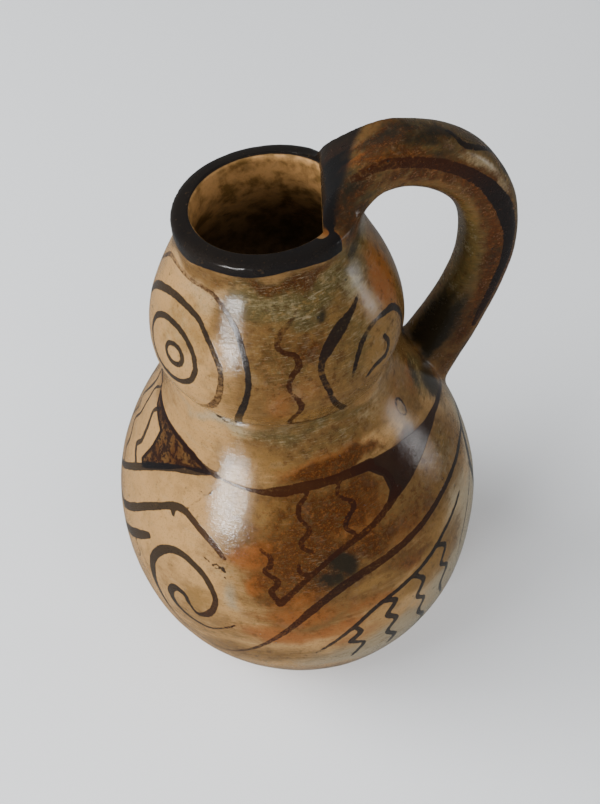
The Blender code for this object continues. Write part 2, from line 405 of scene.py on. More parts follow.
def handle_frames(sizes):
    """Middle, sideways, outward, half sizes and length along for each ring of the handle."""
    points = handle_line(sizes)
    lengths = [0]
    for before, after in zip(points, points[1:]):
        lengths.append(lengths[-1] + (after - before).length)
    grip = (sizes.grip_half_width, sizes.grip_half_depth)
    frames = []
    for i, point in enumerate(points):
        share = lengths[i] / lengths[-1]
        along = (points[min(i + 1, len(points) - 1)] - points[max(i - 1, 0)]).normalized()
        turn = math.radians(ROOT_TURN + (FOOT_TURN - ROOT_TURN) * share)
        radial = Vector((math.cos(turn), math.sin(turn), 0))
        outward = along.x * UP - along.y * radial
        root = max(0, 1 - share / ROOT_SPREAD) ** 2
        foot = max(0, 1 - (1 - share) / FOOT_SPREAD) ** 2
        ends = zip(grip, ROOT_HALF_SIZES, FOOT_HALF_SIZES)
        half = [g + root * (r - g) + foot * (f - g) for g, r, f in ends]
        middle = point.x * radial + point.y * UP
        frames.append((middle, UP.cross(radial), outward, half, lengths[i]))
    return frames


def squared_up(value, power=SECTION_POWER):
    """A cosine or sine raised to a power, which flattens a round section a little."""
    return math.copysign(abs(value) ** power, value)


def ring_places(frame_at_ring):
    """The points of one ring of the handle, narrower on the side near the body."""
    middle, sideways, outward, half, _ = frame_at_ring
    places = []
    for i in range(SECTION_POINTS):
        angle = math.tau * i / SECTION_POINTS
        out = squared_up(math.sin(angle), SECTION_POWER if angle < math.pi else INNER_POWER)
        narrowing = 1 - INNER_TAPER * (1 - out) / 2
        across = half[0] * narrowing * squared_up(math.cos(angle))
        places.append(middle + across * sideways + half[1] * out * outward)
    return places


def put_ring(mesh, places):
    """Moves the selected ring of vertices to its places, in the order the circle was drawn in."""
    shape = bmesh.from_edit_mesh(mesh)
    order = shape.verts.layers.int["order"]
    for vert in shape.verts:
        if vert.select:
            vert.co = places[vert[order]]
    bmesh.update_edit_mesh(mesh)


def strap(sizes):
    """The handle as one closed form, drawn out ring by ring from a disc inside the lip."""
    rings = [ring_places(ring) for ring in handle_frames(sizes)]
    bpy.ops.mesh.primitive_circle_add(
        vertices=SECTION_POINTS, radius=sizes.grip_half_width, fill_type="NGON"
    )
    handle = bpy.context.object
    handle.name = "strap"
    bpy.ops.object.mode_set(mode="EDIT")
    shape = bmesh.from_edit_mesh(handle.data)
    order = shape.verts.layers.int.new("order")
    by_angle = sorted(shape.verts, key=lambda v: math.atan2(v.co.y, v.co.x) % math.tau)
    for i, vert in enumerate(by_angle):
        vert[order] = i
    bmesh.update_edit_mesh(handle.data)
    bpy.ops.mesh.select_all(action="SELECT")
    put_ring(handle.data, rings[0])
    for places in rings[1:]:
        bpy.ops.mesh.extrude_region_move(TRANSFORM_OT_translate={"value": MILLIMETRE * UP})
        put_ring(handle.data, places)
    face_outwards()
    return handle


def places_of(mesh):
    """The mesh's vertex places as rows of x, y, z."""
    places = np.empty(len(mesh.vertices) * 3)
    mesh.vertices.foreach_get("co", places)
    return places.reshape(-1, 3)


def put_places(mesh, places):
    mesh.vertices.foreach_set("co", places.ravel())
    mesh.update()


def leaning(height, sizes):
    """How far the axis stands towards the handle at a height, as the hand-built body leans."""
    return sizes.rim_lean * (height / lip_height(sizes)) ** 2


def lean(piece, sizes):
    """Leans a piece towards the handle."""
    places = places_of(piece.data)
    places[:, 0] += leaning(places[:, 2], sizes)
    put_places(piece.data, places)


def chord_direction():
    turn = math.radians(CHORD_TURN)
    return np.array((math.cos(turn), math.sin(turn), 0))


def past_chord(places, sizes):
    """How far each place of the unleaned body lies past the mouth's flat side."""
    return places @ chord_direction() - chord_distance(sizes)


def flatten_mouth(piece, sizes):
    """Brings the hollow's top back to a straight chord beside the handle's root."""
    places = places_of(piece.data)
    beyond = past_chord(places, sizes)
    near = (beyond > 0) & (places[:, 2] > lip_height(sizes) - CHORD_DEPTH)
    places[near] -= np.outer(beyond[near], chord_direction())
    put_places(piece.data, places)


def only(piece):
    """Selects one piece and makes it the active one."""
    bpy.ops.object.select_all(action="DESELECT")
    piece.select_set(True)
    bpy.context.view_layer.objects.active = piece


def finished_with(piece, kind, settings, group=None):
    """Adds a modifier to a piece with its settings and applies it."""
    only(piece)
    modifier = piece.modifiers.new(kind.title(), kind)
    for name, value in settings.items():
        setattr(modifier, name, value)
    if group:
        modifier.vertex_group = group
    bpy.ops.object.modifier_apply(modifier=modifier.name)


def joined(piece, other, operation):
    """Joins or cuts a piece with another one, which is used up."""
    finished_with(piece, "BOOLEAN", {"object": other, "operation": operation, "solver": "EXACT"})
    bpy.data.objects.remove(other)


def grouped(piece, name, weights):
    """A vertex group with one weight for each vertex."""
    group = piece.vertex_groups.new(name=name)
    for level in np.unique(np.round(weights, 2)):
        if level > 0:
            chosen = np.flatnonzero(np.round(weights, 2) == level)
            group.add(chosen.tolist(), float(level), "REPLACE")
    return name


def faded(distance, near, far):
    """1 up to near, falling smoothly to 0 at far."""
    share = np.clip((far - distance) / (far - near), 0, 1)
    return share * share * (3 - 2 * share)


def uneven(piece, size, height, group):
    """Pushes the surface in and out a little, as hands and a burnishing stone leave it."""
    clouds = bpy.data.textures.new("hand marks", "CLOUDS")
    clouds.noise_scale = size
    clouds.noise_depth = 1
    settings = {"texture": clouds, "strength": height, "mid_level": 0.5, "texture_coords": "LOCAL"}
    finished_with(piece, "DISPLACE", settings, group)


def hill(value, middle, width, height):
    """A soft rise round a middle."""
    return height * np.exp(-(((value - middle) / width) ** 2))


def crease(piece, sizes):
    """Presses a fold in where the upper lobe was set on the lower one, deeper at the front left."""
    places = places_of(piece.data)
    across = places[:, 0] - leaning(places[:, 2], sizes)
    turn = np.arctan2(places[:, 1], across)
    wander = FOLD_WANDER * np.sin(2 * turn + FOLD_PHASE)
    rise = (places[:, 2] - sizes.waist_height) / MILLIMETRE - wander
    fold = hill(rise, 0, FOLD_WIDTH, FOLD_DEPTH + FOLD_DEEPER * np.cos(turn + FOLD_TURN))
    pressed = (hill(rise, *FOLD_SWELL) + hill(rise, *FOLD_HOLLOW) - fold) * MILLIMETRE
    pressed[np.hypot(across, places[:, 1]) > sizes.lobe_radius + FOLD_REACH * MILLIMETRE] = 0
    places[:, 0] += pressed * np.cos(turn)
    places[:, 1] += pressed * np.sin(turn)
    put_places(piece.data, places)


def lower_root(piece, sizes):
    """Brings the handle's root down to the lip at the mouth's flat side, in one easy rise."""
    places = places_of(piece.data)
    beyond = past_chord(places, sizes) - sizes.rim_lean
    along = np.clip((beyond + RAMP_START) / RAMP_LENGTH, 0, 1)
    over = places[:, 2] - lip_height(sizes) - RAMP_CLEARANCE - RAMP_RISE * along**RAMP_POWER
    lowered = (over > 0) & (beyond < RAMP_LENGTH)
    places[lowered, 2] -= over[lowered] * RAMP_SHARE
    put_places(piece.data, places)


def soften_joints(jar, sizes):
    """Smooths the clay where the handle was pressed on, but not the lip inside its root."""
    frames = handle_frames(sizes)
    places = places_of(jar.data)
    root = np.array(frames[0][0]) + ROOT_JOINT + (sizes.rim_lean, 0, 0)
    foot = np.array(frames[-1][0]) + FOOT_JOINT
    from_root = np.linalg.norm((places - root) * ROOT_JOINT_STRETCH, axis=1)
    from_foot = np.linalg.norm(places - foot, axis=1)
    on_lip = places[:, 2] > lip_height(sizes) - LIP_KEPT
    on_lip &= places @ chord_direction() < LIP_KEPT_TO
    near_root = faded(from_root, *ROOT_JOINT_REACH) * ~on_lip
    joints = grouped(jar, "joints", np.maximum(near_root, faded(from_foot, *FOOT_JOINT_REACH)))
    finished_with(jar, "SMOOTH", {"factor": 0.5, "iterations": JOINT_SMOOTHING}, joints)


def model_jar(sizes):
    """The clay jar: two lobes and a strap in one solid, worked over by hand, then hollowed."""
    jar = turned("painted_jar", solid_outline(sizes), TURNING_STEPS)
    handle = strap(sizes)
    lean(jar, sizes)
    lean(handle, sizes)
    joined(jar, handle, "UNION")
    finished_with(jar, "REMESH", {"mode": "VOXEL", "voxel_size": CLAY_GRAIN})
    finished_with(jar, "SMOOTH", {"factor": 0.5, "iterations": CLAY_SMOOTHING})
    lower_root(jar, sizes)
    soften_joints(jar, sizes)
    worked = grouped(jar, "worked", 1 - faded(places_of(jar.data)[:, 2], *MARKS_FROM))
    for size, height in HAND_MARKS:
        uneven(jar, size, height, worked)
    crease(jar, sizes)
    low = grouped(jar, "low", faded(places_of(jar.data)[:, 2], *LOW_CLAY))
    finished_with(jar, "DECIMATE", {"ratio": LOW_CLAY_KEPT}, low)
    hollow = turned("hollow", hollow_outline(sizes), HOLLOW_STEPS)
    flatten_mouth(hollow, sizes)
    lean(hollow, sizes)
    joined(jar, hollow, "DIFFERENCE")
    only(jar)
    bpy.ops.object.mode_set(mode="EDIT")
    bpy.ops.mesh.select_all(action="SELECT")
    bpy.ops.mesh.remove_doubles(threshold=DOUBLE_REACH)
    bpy.ops.mesh.dissolve_degenerate(threshold=DOUBLE_REACH)
    bpy.ops.object.mode_set(mode="OBJECT")
    finished_with(jar, "TRIANGULATE", {"quad_method": "BEAUTY", "ngon_method": "BEAUTY"})
    bpy.ops.object.shade_smooth_by_angle(angle=SHARP_FROM)
    jar.vertex_groups.clear()
    return jar


def smooth_way(points, steps=6):
    """A flowing line through a few points."""
    knots = np.array(points, float)
    knots = np.vstack([2 * knots[0] - knots[1], knots, 2 * knots[-1] - knots[-2]])
    way = []
    for before, start, end, after in zip(knots, knots[1:], knots[2:], knots[3:]):
        for i in range(steps):
            t = i / steps
            way.append(
                start
                + 0.5 * t * (end - before)
                + t * t * (before - 2.5 * start + 2 * end - 0.5 * after)
                + 0.5 * t**3 * (3 * start - 3 * end + after - before)
            )
    way.append(knots[-2])
    return np.array(way)


def stroke(points, width, rust=0, wear=0):
    """One stroke: its way, and its width, rust and wear, each one number or several spread along."""
    way = smooth_way(points)
    share = np.linspace(0, 1, len(way))

    def along(value):
        values = np.atleast_1d(value)
        return np.interp(share, np.linspace(0, 1, len(values)), values)

    return way, along(width), along(rust), along(wear)


def wave(start, end, bends, sway, width, rust, wear):
    """A stepped wavy line: long slanted falls joined by short steps to one side."""
    start = np.array(start, float)
    way = np.array(end, float) - start
    points = [start]
    for i in range(1, 2 * bends):
        side = 1 if i % 2 else -1
        points.append(start + (i - WAVE_LEAD * side) / (2 * bends) * way + (sway * side, 0))
    return stroke(points + [start + way], width, rust, wear)


def ring(centre, half_turn, half_rise, width, rust=0, wear=0, start=0, end=360):
    """A closed or open ring round a centre."""
    angles = np.radians(np.linspace(start, end, RING_POINTS))
    across = centre[0] + half_turn * np.cos(angles)
    up = centre[1] + half_rise * np.sin(angles)
    return stroke(np.column_stack((across, up)), width, rust, wear)


def turned_by(strokes, degrees):
    """The same strokes further round the body."""
    return [(way + (degrees, 0), width, rust, wear) for way, width, rust, wear in strokes]


def upper_lobe_strokes():
    """The eye-like rings of the upper lobe and the waves between them, seen sides and far side."""
    left_eye = [
        ring((-157.5, 199.5), 6, 3.6, 2),
        ring((-162, 199), 18.5, 10.8, 2.3),
        stroke([(156, 190), (160, 199), (165, 207), (175, 213.5), (190, 217.5), (203, 218), (213, 216.5),
                (219, 213), (225, 208), (229, 202), (229, 195), (227, 189), (222, 183), (213, 178)],
               (2.6, 3.2, 3.2, 2.6, 2.2, 2.2, 2.4, 2.8, 2.2), (0, 0, 0, 0, 0.1, 0.7, 0.9),
               (0, 0, 0, 0.1, 0.3, 0.5, 0.4)),
        stroke([(150, 210), (163, 220), (176, 226), (203, 227), (220, 226), (233, 219), (239, 211),
                (242, 201), (240, 191), (236, 182), (233, 173)],
               (1.6, 1.8, 1.8, 1.6, 1.8, 2.2, 2.2, 2.8, 3.2), (0.3, 0.5, 0.9, 0.9, 0.4, 0, 0, 0, 0),
               (0.2, 0.3, 0.5, 0.5, 0.3, 0.1, 0, 0, 0)),
        stroke([(206, 176.5), (215, 173.8), (225, 171.4), (236, 172.6)], (0.7, 1.2, 1.2, 0.9), 0.3, 0.05),
    ]
    right_eye = [
        stroke([(-57, 217), (-65, 214), (-74, 211), (-81, 207), (-85.5, 203), (-86.5, 198), (-84.5, 191),
                (-82, 183), (-75, 172)], (0.8, 2.6, 5.2, 4.6, 2.6, 2.2, 2, 2.4, 3), 0.15,
               (0.3, 0.1, 0.1, 0.35, 0.3, 0.1)),
        stroke([(-50, 205), (-58, 205), (-65, 202), (-70, 197), (-73, 192)], (1.2, 2, 2.4, 2, 1.2), 0.1,
               (0.2, 0.5, 0.1, 0.5)),
        stroke([(-66, 187), (-60, 189), (-52, 189), (-49, 193), (-51, 197)], (1.2, 2.6, 2, 2.2), 0.1, 0.25),
        stroke([(-50, 205), (-39, 202), (-33, 195), (-34, 187)], (2, 2.8, 2.4, 1.6), 0, 0.1),
        stroke([(-72, 185), (-66, 179), (-57, 175)], (1, 1.6, 1), 0.6, 0.55),
    ]
    centre_wave = [
        stroke([(-92, 222), (-97, 218.5), (-103, 215), (-104.5, 211.5), (-101.5, 209.3), (-97, 207.8),
                (-95.8, 204), (-99.5, 200.5), (-101, 196), (-98, 190.5), (-97, 186), (-102, 178.5),
                (-102.5, 175.5)], (1, 1.8, 2.4, 1.6, 1.8, 2.4, 2, 1.6, 2.4, 1.8, 1.4), 0.85,
               (0.75, 0.6, 0.45, 0.3, 0.3, 0.4, 0.3, 0.3, 0.25)),
        stroke([(-102.5, 175), (-95, 174), (-88, 173.2), (-80, 172.2), (-72, 171.2)], (1.5, 1.1, 1.4, 1),
               0.95, (0.15, 0.4, 0.25, 0.5)),
    ]
    hidden_eye = [
        ring((56, 199.5), 6, 3.6, 2),
        ring((56, 199), 18.5, 10.8, 2.3, wear=0.1),
        ring((56, 199), 31, 20, 2.2, start=-70, end=250, wear=0.2),
    ]
    return left_eye + right_eye + centre_wave + hidden_eye + turned_by(centre_wave, 206)


def spiral_strokes():
    """The left spiral: a coil of two arms, one of which runs on into the long sweep."""
    return [
        stroke([(-141.5, 86), (-143, 91), (-147, 91.5), (-149, 85), (-147, 78), (-142, 74), (-136, 73),
                (-131, 77), (-126, 83)], (2, 2.8, 3.8, 4, 3, 2, 1.5, 1.2, 1), (0, 0, 0, 0, 0.2, 0.6, 0.9),
               (0, 0, 0, 0, 0, 0.1, 0.3)),
        stroke([(-141.5, 86), (-139, 81.5), (-135.5, 84), (-132.5, 91), (-132, 99), (-136, 108),
                (-144, 113), (-151, 110), (-156, 101), (-157, 91), (-156, 80), (-152, 67), (-147, 58),
                (-141, 54)], (1.2, 2.2, 3.2, 3, 2.8, 3, 3.6, 4, 4.4, 4.2, 3.2, 2, 1.4, 1.2),
               (0, 0.3, 0.6, 0.5, 0.2, 0, 0, 0, 0, 0, 0.2, 0.5, 0.8),
               (0, 0, 0, 0, 0, 0, 0, 0, 0.1, 0.2, 0.3, 0.4)),
        stroke([(-141, 54), (-136, 51), (-129, 56), (-120, 67.5), (-111.5, 82), (-102, 96.5), (-92, 105.8),
                (-80, 110), (-66, 112.4), (-54, 114.3), (-40, 115.5), (-28, 115), (-18, 112)],
               (1.2, 1.2, 1.3, 1.8, 2.8, 3.8, 4.2, 3.8, 3.4, 3, 2.6, 2.2, 1.2),
               (0.9, 0.9, 0.9, 0.95, 0.9, 0.75, 0.5, 0.85, 0.8, 0.5, 0.1, 0, 0),
               (0.4, 0.4, 0.35, 0.35, 0.3, 0.15, 0.15, 0.25, 0.1, 0.05, 0, 0, 0)),
    ]


def centre_panel_strokes():
    """The centre panel: a rising edge with short waves that hang from the wedge above it."""
    return [
        stroke([(-111.5, 100.8), (-107, 107), (-102, 113), (-95, 119), (-88, 122.8), (-79.5, 125.6),
                (-72, 128.8), (-65, 132)], (3.6, 2.4, 2.4, 2.3, 2.7, 2.4, 3, 4.2),
               (0.9, 0.85, 0.85, 0.7, 0.85, 0.9, 0.85, 0.7), (0.1, 0.3, 0.2, 0.3, 0.25, 0.15)),
        stroke([(-117.3, 125.4), (-113.7, 121.8), (-114, 118.5), (-115.7, 116), (-111.6, 111.8),
                (-113.9, 107), (-112.2, 102.5)], (1, 2, 2.6, 1.8, 2.2, 2.5, 2.4), 0.85,
               (0.5, 0.25, 0.25, 0.2)),
        stroke([(-98.6, 146.5), (-99.5, 143.5), (-102.7, 140.4), (-102.6, 136.1), (-100, 132.4),
                (-101, 130), (-103.4, 127.6), (-102.5, 125), (-99.6, 123)],
               (1.8, 1.7, 2.2, 1.7, 2.3, 1.7, 2, 1.3), 0.85, (0.2, 0.25, 0.3, 0.4, 0.25, 0.5)),
        stroke([(-85, 146), (-87.6, 141.5), (-83.4, 137.5), (-83, 135), (-86.8, 131.5), (-87.4, 128.6),
                (-85.4, 126.4)], (1.6, 1.5, 2.6, 2, 1.5, 1.9), (0.9, 0.85, 0.5, 0.85),
               (0.4, 0.45, 0.05, 0.35, 0.2)),
        stroke([(-104.9, 118.6), (-104.6, 115.6), (-102, 114)], (1.5, 2.1, 2), 0.85, 0.35),
        stroke([(-138.4, 148.6), (-130, 147.2), (-123, 146.3), (-116, 145.8), (-108, 146), (-99.5, 146.8),
                (-90.5, 147), (-80, 146.6), (-71, 146)], (0.7, 1.1, 1.5, 2.6, 4.4, 4.2, 3.4, 3.8, 4.4),
               (0.95, 0.8, 0.6, 0.85, 0.95, 0.95, 0.9, 0.85, 0.7),
               (0.3, 0.25, 0.2, 0.2, 0.1, 0.05, 0.1, 0.05)),
        stroke([(-78, 146), (-71.5, 144.8), (-66.4, 140), (-66, 134), (-70, 129.5)], (1.8, 2, 2.3, 2.4),
               (0.8, 0.6, 0.5, 0.8), 0.15),
    ]


def left_panel_strokes():
    """The left panel's waves and its base line under the small triangle."""
    return [
        stroke([(168, 154), (163.5, 149), (164, 142), (165, 136), (163, 130), (168, 125), (168, 118),
                (171, 114)], (1.2, 1.6, 1.8, 1.6), 0.1, 0.1),
        stroke([(179, 152), (174.5, 147), (177, 141), (178, 135), (176, 130.5), (181, 126)],
               (1.4, 2.2, 2.4, 2.2), 0.1, 0.1),
        wave((157, 153), (156, 106), 3, 2, 1.8, 0.1, 0.1),
        wave((146, 150), (147, 99), 3, 2, 1.8, 0.1, 0.1),
        stroke([(150, 97), (160, 103), (170, 111), (182, 125), (191, 134), (203, 142), (219, 148),
                (223, 149)], (2.4, 2.8, 3.2, 3.4, 3.2, 2.6, 1.6), (0, 0, 0, 0, 0, 0.2, 0.7),
               (0, 0, 0, 0, 0, 0.1, 0.4)),
        stroke([(128, 147), (146, 152), (165, 156), (172, 153.5), (187, 153), (202, 152), (224, 148)],
               (1.2, 1.4, 1.2, 1.4, 2, 2.4, 2), 0.35, 0.1),
    ]


def field_strokes():
    """Lines between the panels: the broad hooked line, its stub, and the fringe on the right."""
    fringe = [
        stroke([(-90, 77), (-89, 72), (-92, 66), (-88, 61), (-90, 54), (-92, 48)],
               (2.4, 2.8, 3.4, 1.8, 2, 1.2), 0, 0.1),
        stroke([(-80, 88), (-77, 84), (-80, 77), (-77, 70), (-80, 61), (-77, 53), (-79, 46)],
               (3.4, 2.6, 3, 2.2, 2.8, 2), 0, 0.05),
        stroke([(-69, 91), (-66, 84), (-69, 76), (-66, 69), (-68, 60), (-65, 50), (-67, 40)],
               (2.4, 2.6, 2, 2.6, 2), 0, 0.1),
        stroke([(-59, 97), (-55, 91), (-58, 83), (-55, 76), (-58, 66), (-56, 54)], (2.4, 1.9, 2.4, 1.7), 0,
               0.15),
    ]
    return fringe + [
        stroke([(-103, 62), (-97, 70), (-91, 78), (-83, 87), (-74, 91), (-64, 94), (-54, 99), (-41, 104)],
               (1.2, 2, 2.6, 2.8, 2.6, 2.8, 2.2, 1.4), 0.05, (0.4, 0.1, 0.1, 0.1)),
        stroke([(180, 100), (187, 108), (195, 118), (205, 127.5), (212, 131), (218, 129), (226, 124),
                (231, 119)], (4, 4, 3.6, 3.2, 3.4, 3.2, 3, 2), (0, 0, 0, 0, 0, 0.3, 0.7, 0.9),
               (0, 0, 0, 0, 0, 0.15, 0.35)),
        stroke([(208, 129.4), (209.4, 126)], (3.8, 1.2), 0, 0),
        stroke([(-26, 101), (-33, 95), (-40, 88), (-45.5, 78), (-47.8, 65)], (0.8, 1.3, 1.4, 1.3, 0.7), 0.1,
               0.1),
        # The small dent on the shoulder: a thin dark ring of painted shade, with no hollow in the clay
        ring((-43, 152), 2.4, 3.6, 0.8, 0.3, 0.2),
        stroke([(228, 147), (222, 141.5), (217, 136), (213, 130), (212, 124)], (0.5, 0.6, 0.6, 0.4), 0.8,
               0.7),
        stroke([(217, 141), (221, 140.6), (223, 141.5)], 0.5, 0.3, 0.1),
        ring((228.4, 114.3), 1.1, 1, 0.6, 0.3, 0.1),
        stroke([(230.4, 114.2), (231.4, 112.9)], (2, 1.2), 0.1, 0.1),
        stroke([(231.4, 110.4), (231.9, 109.9)], 0.9, 0.2, 0.1),
        stroke([(223.5, 116.5), (226, 115.2)], 0.5, 0.4, 0.1),
        stroke([(168, 75), (178, 84), (188, 94), (194, 101), (200, 108)], (3.4, 4.6, 5, 4.8, 3.2), 0, 0),
        stroke([(192, 99), (193, 94), (195, 90), (194, 86)], (1.2, 1.1, 1, 0.6), 0, 0.1),
    ]


def hidden_strokes():
    """The far side in keeping: the same motifs a third of the way round, drawn more plainly."""
    third = 117
    second_spiral = turned_by(spiral_strokes(), third + 14)
    last_spiral = turned_by(spiral_strokes()[:2], 2 * third - 2)
    second_panel = turned_by(centre_panel_strokes()[:4], third + 3)
    return second_spiral + last_spiral + second_panel + [
        stroke([(92, 54), (104, 56), (120, 66), (140, 80), (160, 91), (180, 100)],
               (1.4, 1.6, 2.2, 2.8, 2.8, 2.8), 0.1, 0.1),
        stroke([(-2, 128), (10, 139), (28, 146), (50, 149), (80, 148), (104, 144)],
               (3, 2.4, 3, 3.4, 3, 1.6), 0.2, 0.1),
    ]


def body_strokes():
    sides = upper_lobe_strokes() + left_panel_strokes() + centre_panel_strokes()
    return sides + spiral_strokes() + field_strokes() + hidden_strokes()


def handle_strokes():
    """Strokes on the handle, in degrees round its section and millimetres along it from the root."""
    return [
        stroke([(154, 22), (157, 32), (164, 41), (168, 50), (169, 61), (168, 72), (165, 82), (161, 92),
                (157, 104), (157, 112), (160, 123), (163, 132), (163, 143), (160, 156)],
               (1.6, 3.4, 4.4, 5, 5, 5.6, 6.8, 7.2, 6, 5, 4.4, 4.2, 4, 2.6),
               (0.95, 0.95, 0.9, 0.8, 0.5, 0.1, 0, 0, 0, 0, 0, 0.2, 0.4),
               (0.5, 0.3, 0.2, 0.15, 0.05, 0, 0, 0, 0, 0, 0.1, 0.2, 0.4)),
        stroke([(100, 52), (124, 58), (108, 68), (92, 75), (116, 78), (103, 88), (88, 99)],
               (1.4, 2.2, 2, 2.4, 2, 2.2, 1.2), 0.1, 0.2),
        stroke([(26, 46), (22, 70), (24, 100), (22, 130), (26, 160)], (1.6, 4, 4.4, 3.6, 2),
               (0.8, 0.1, 0, 0, 0.4), (0.5, 0.1, 0.05, 0.1, 0.3)),
        stroke([(88, 104), (72, 112), (98, 121), (78, 131), (100, 141), (84, 150)], (1.4, 2, 2, 1.6), 0.1,
               0.25),
    ]


def fills():
    """Areas laid in with slip: outline, how dark (1 is solid), and how red."""
    centre_wedge = [
        (-5, 126), (-12, 130.5), (-19, 134), (-31, 138), (-40, 140.4), (-52, 143.7), (-62, 145.8),
        (-72, 147.4), (-80, 148.2), (-80, 145), (-72.6, 144), (-68, 139.3), (-68, 133.8), (-71, 130),
        (-65.4, 129.8), (-59, 131), (-51, 132.8), (-41, 134.8), (-29, 134.6), (-17, 131), (-8, 126.4),
    ]
    far_wedge = [(turn + 120, height) for turn, height in centre_wedge]
    return [
        (centre_wedge, 1, 0.4),
        ([(168, 155), (174, 150), (186, 147), (186, 140), (183, 131), (186, 129), (196, 137), (208, 145),
          (222, 148), (210, 152), (190, 153.5)], 0.75, 0.3),
        (far_wedge, 0.95, 0.1),
    ]


def wrapped(degrees):
    return (degrees + 180) % 360 - 180


def nearest_on(turn, rise, radius, points, width=None):
    """Signed millimetres from each place to a line, less its half width, and the share along it."""
    best = np.full(len(turn), FAR_AWAY)
    share = np.zeros(len(turn))
    half = np.zeros(len(points)) if width is None else np.asarray(width) / 2
    scale = radius * math.pi / 180
    for i, (start, end) in enumerate(zip(points, points[1:])):
        x = wrapped(turn - start[0]) * scale
        y = rise - start[1]
        dx = wrapped(end[0] - start[0]) * scale
        dy = end[1] - start[1]
        t = np.clip((x * dx + y * dy) / (dx * dx + dy * dy + TINY), 0, 1)
        distance = np.hypot(x - t * dx, y - t * dy) - (half[i] + t * (half[i + 1] - half[i]))
        closer = distance < best
        best[closer] = distance[closer]
        share[closer] = (i + t[closer]) / (len(points) - 1)
    return best, share


def inside_of(turn, rise, points):
    """Whether each place lies inside a closed outline."""
    inside = np.zeros(len(turn), bool)
    centre = points[0][0]
    x = wrapped(turn - centre)
    for (turn0, y0), (turn1, y1) in zip(points, points[1:] + points[:1]):
        x0 = wrapped(turn0 - centre)
        x1 = wrapped(turn1 - centre)
        at = x0 + (rise - y0) / (y1 - y0 + TINY) * (x1 - x0)
        inside ^= ((y0 > rise) != (y1 > rise)) & (x < at)
    return inside


def brushed(turn, rise, radius, strokes, rise_of):
    """Edge distance, rust and wear of the nearest stroke at each place."""
    edge = np.full(len(turn), BRUSH_REACH)
    rust = np.zeros(len(turn))
    wear = np.zeros(len(turn))
    for way, width, red, worn in strokes:
        way = way.copy()
        way[:, 1] = rise_of(way[:, 1])
        middle = way[:, 0].mean()
        reach = np.abs(way[:, 0] - middle).max()
        margin = BRUSH_REACH + width.max()
        near = (rise > way[:, 1].min() - margin) & (rise < way[:, 1].max() + margin)
        near &= np.abs(wrapped(turn - middle)) < reach + np.degrees(margin / radius)
        places = np.flatnonzero(near)
        if not len(places):
            continue
        distance, share = nearest_on(turn[places], rise[places], radius[places], way, width)
        better = distance < edge[places]
        chosen = places[better]
        at = share[better]
        edge[chosen] = distance[better]
        rust[chosen] = np.interp(at, np.linspace(0, 1, len(red)), red)
        wear[chosen] = np.interp(at, np.linspace(0, 1, len(worn)), worn)
    return edge, rust, wear


def wandering(turn, rise):
    """The same places moved a little to and fro, so that clouds drawn there get uneven edges."""
    angle = np.radians(turn)
    bend = np.sin(5 * angle + rise / 9) + 0.7 * np.sin(11 * angle - rise / 5 + 1)
    lift = np.sin(7 * angle + rise / 13 + 2) + 0.7 * np.cos(13 * angle - rise / 6)
    return turn + CLOUD_SWAY[0] * bend, rise + CLOUD_SWAY[1] * lift


def clouded(turn, rise, blobs):
    """How strongly each place lies in any of some soft-edged clouds."""
    strength = np.zeros(len(turn))
    turn, rise = wandering(turn, rise)
    for centre, height, half_turn, half_rise, amount in blobs:
        x = wrapped(turn - centre) / half_turn
        y = (rise - height) / half_rise
        strength = np.maximum(strength, amount * np.exp(-(x * x + y * y) ** CLOUD_EDGE))
    return strength
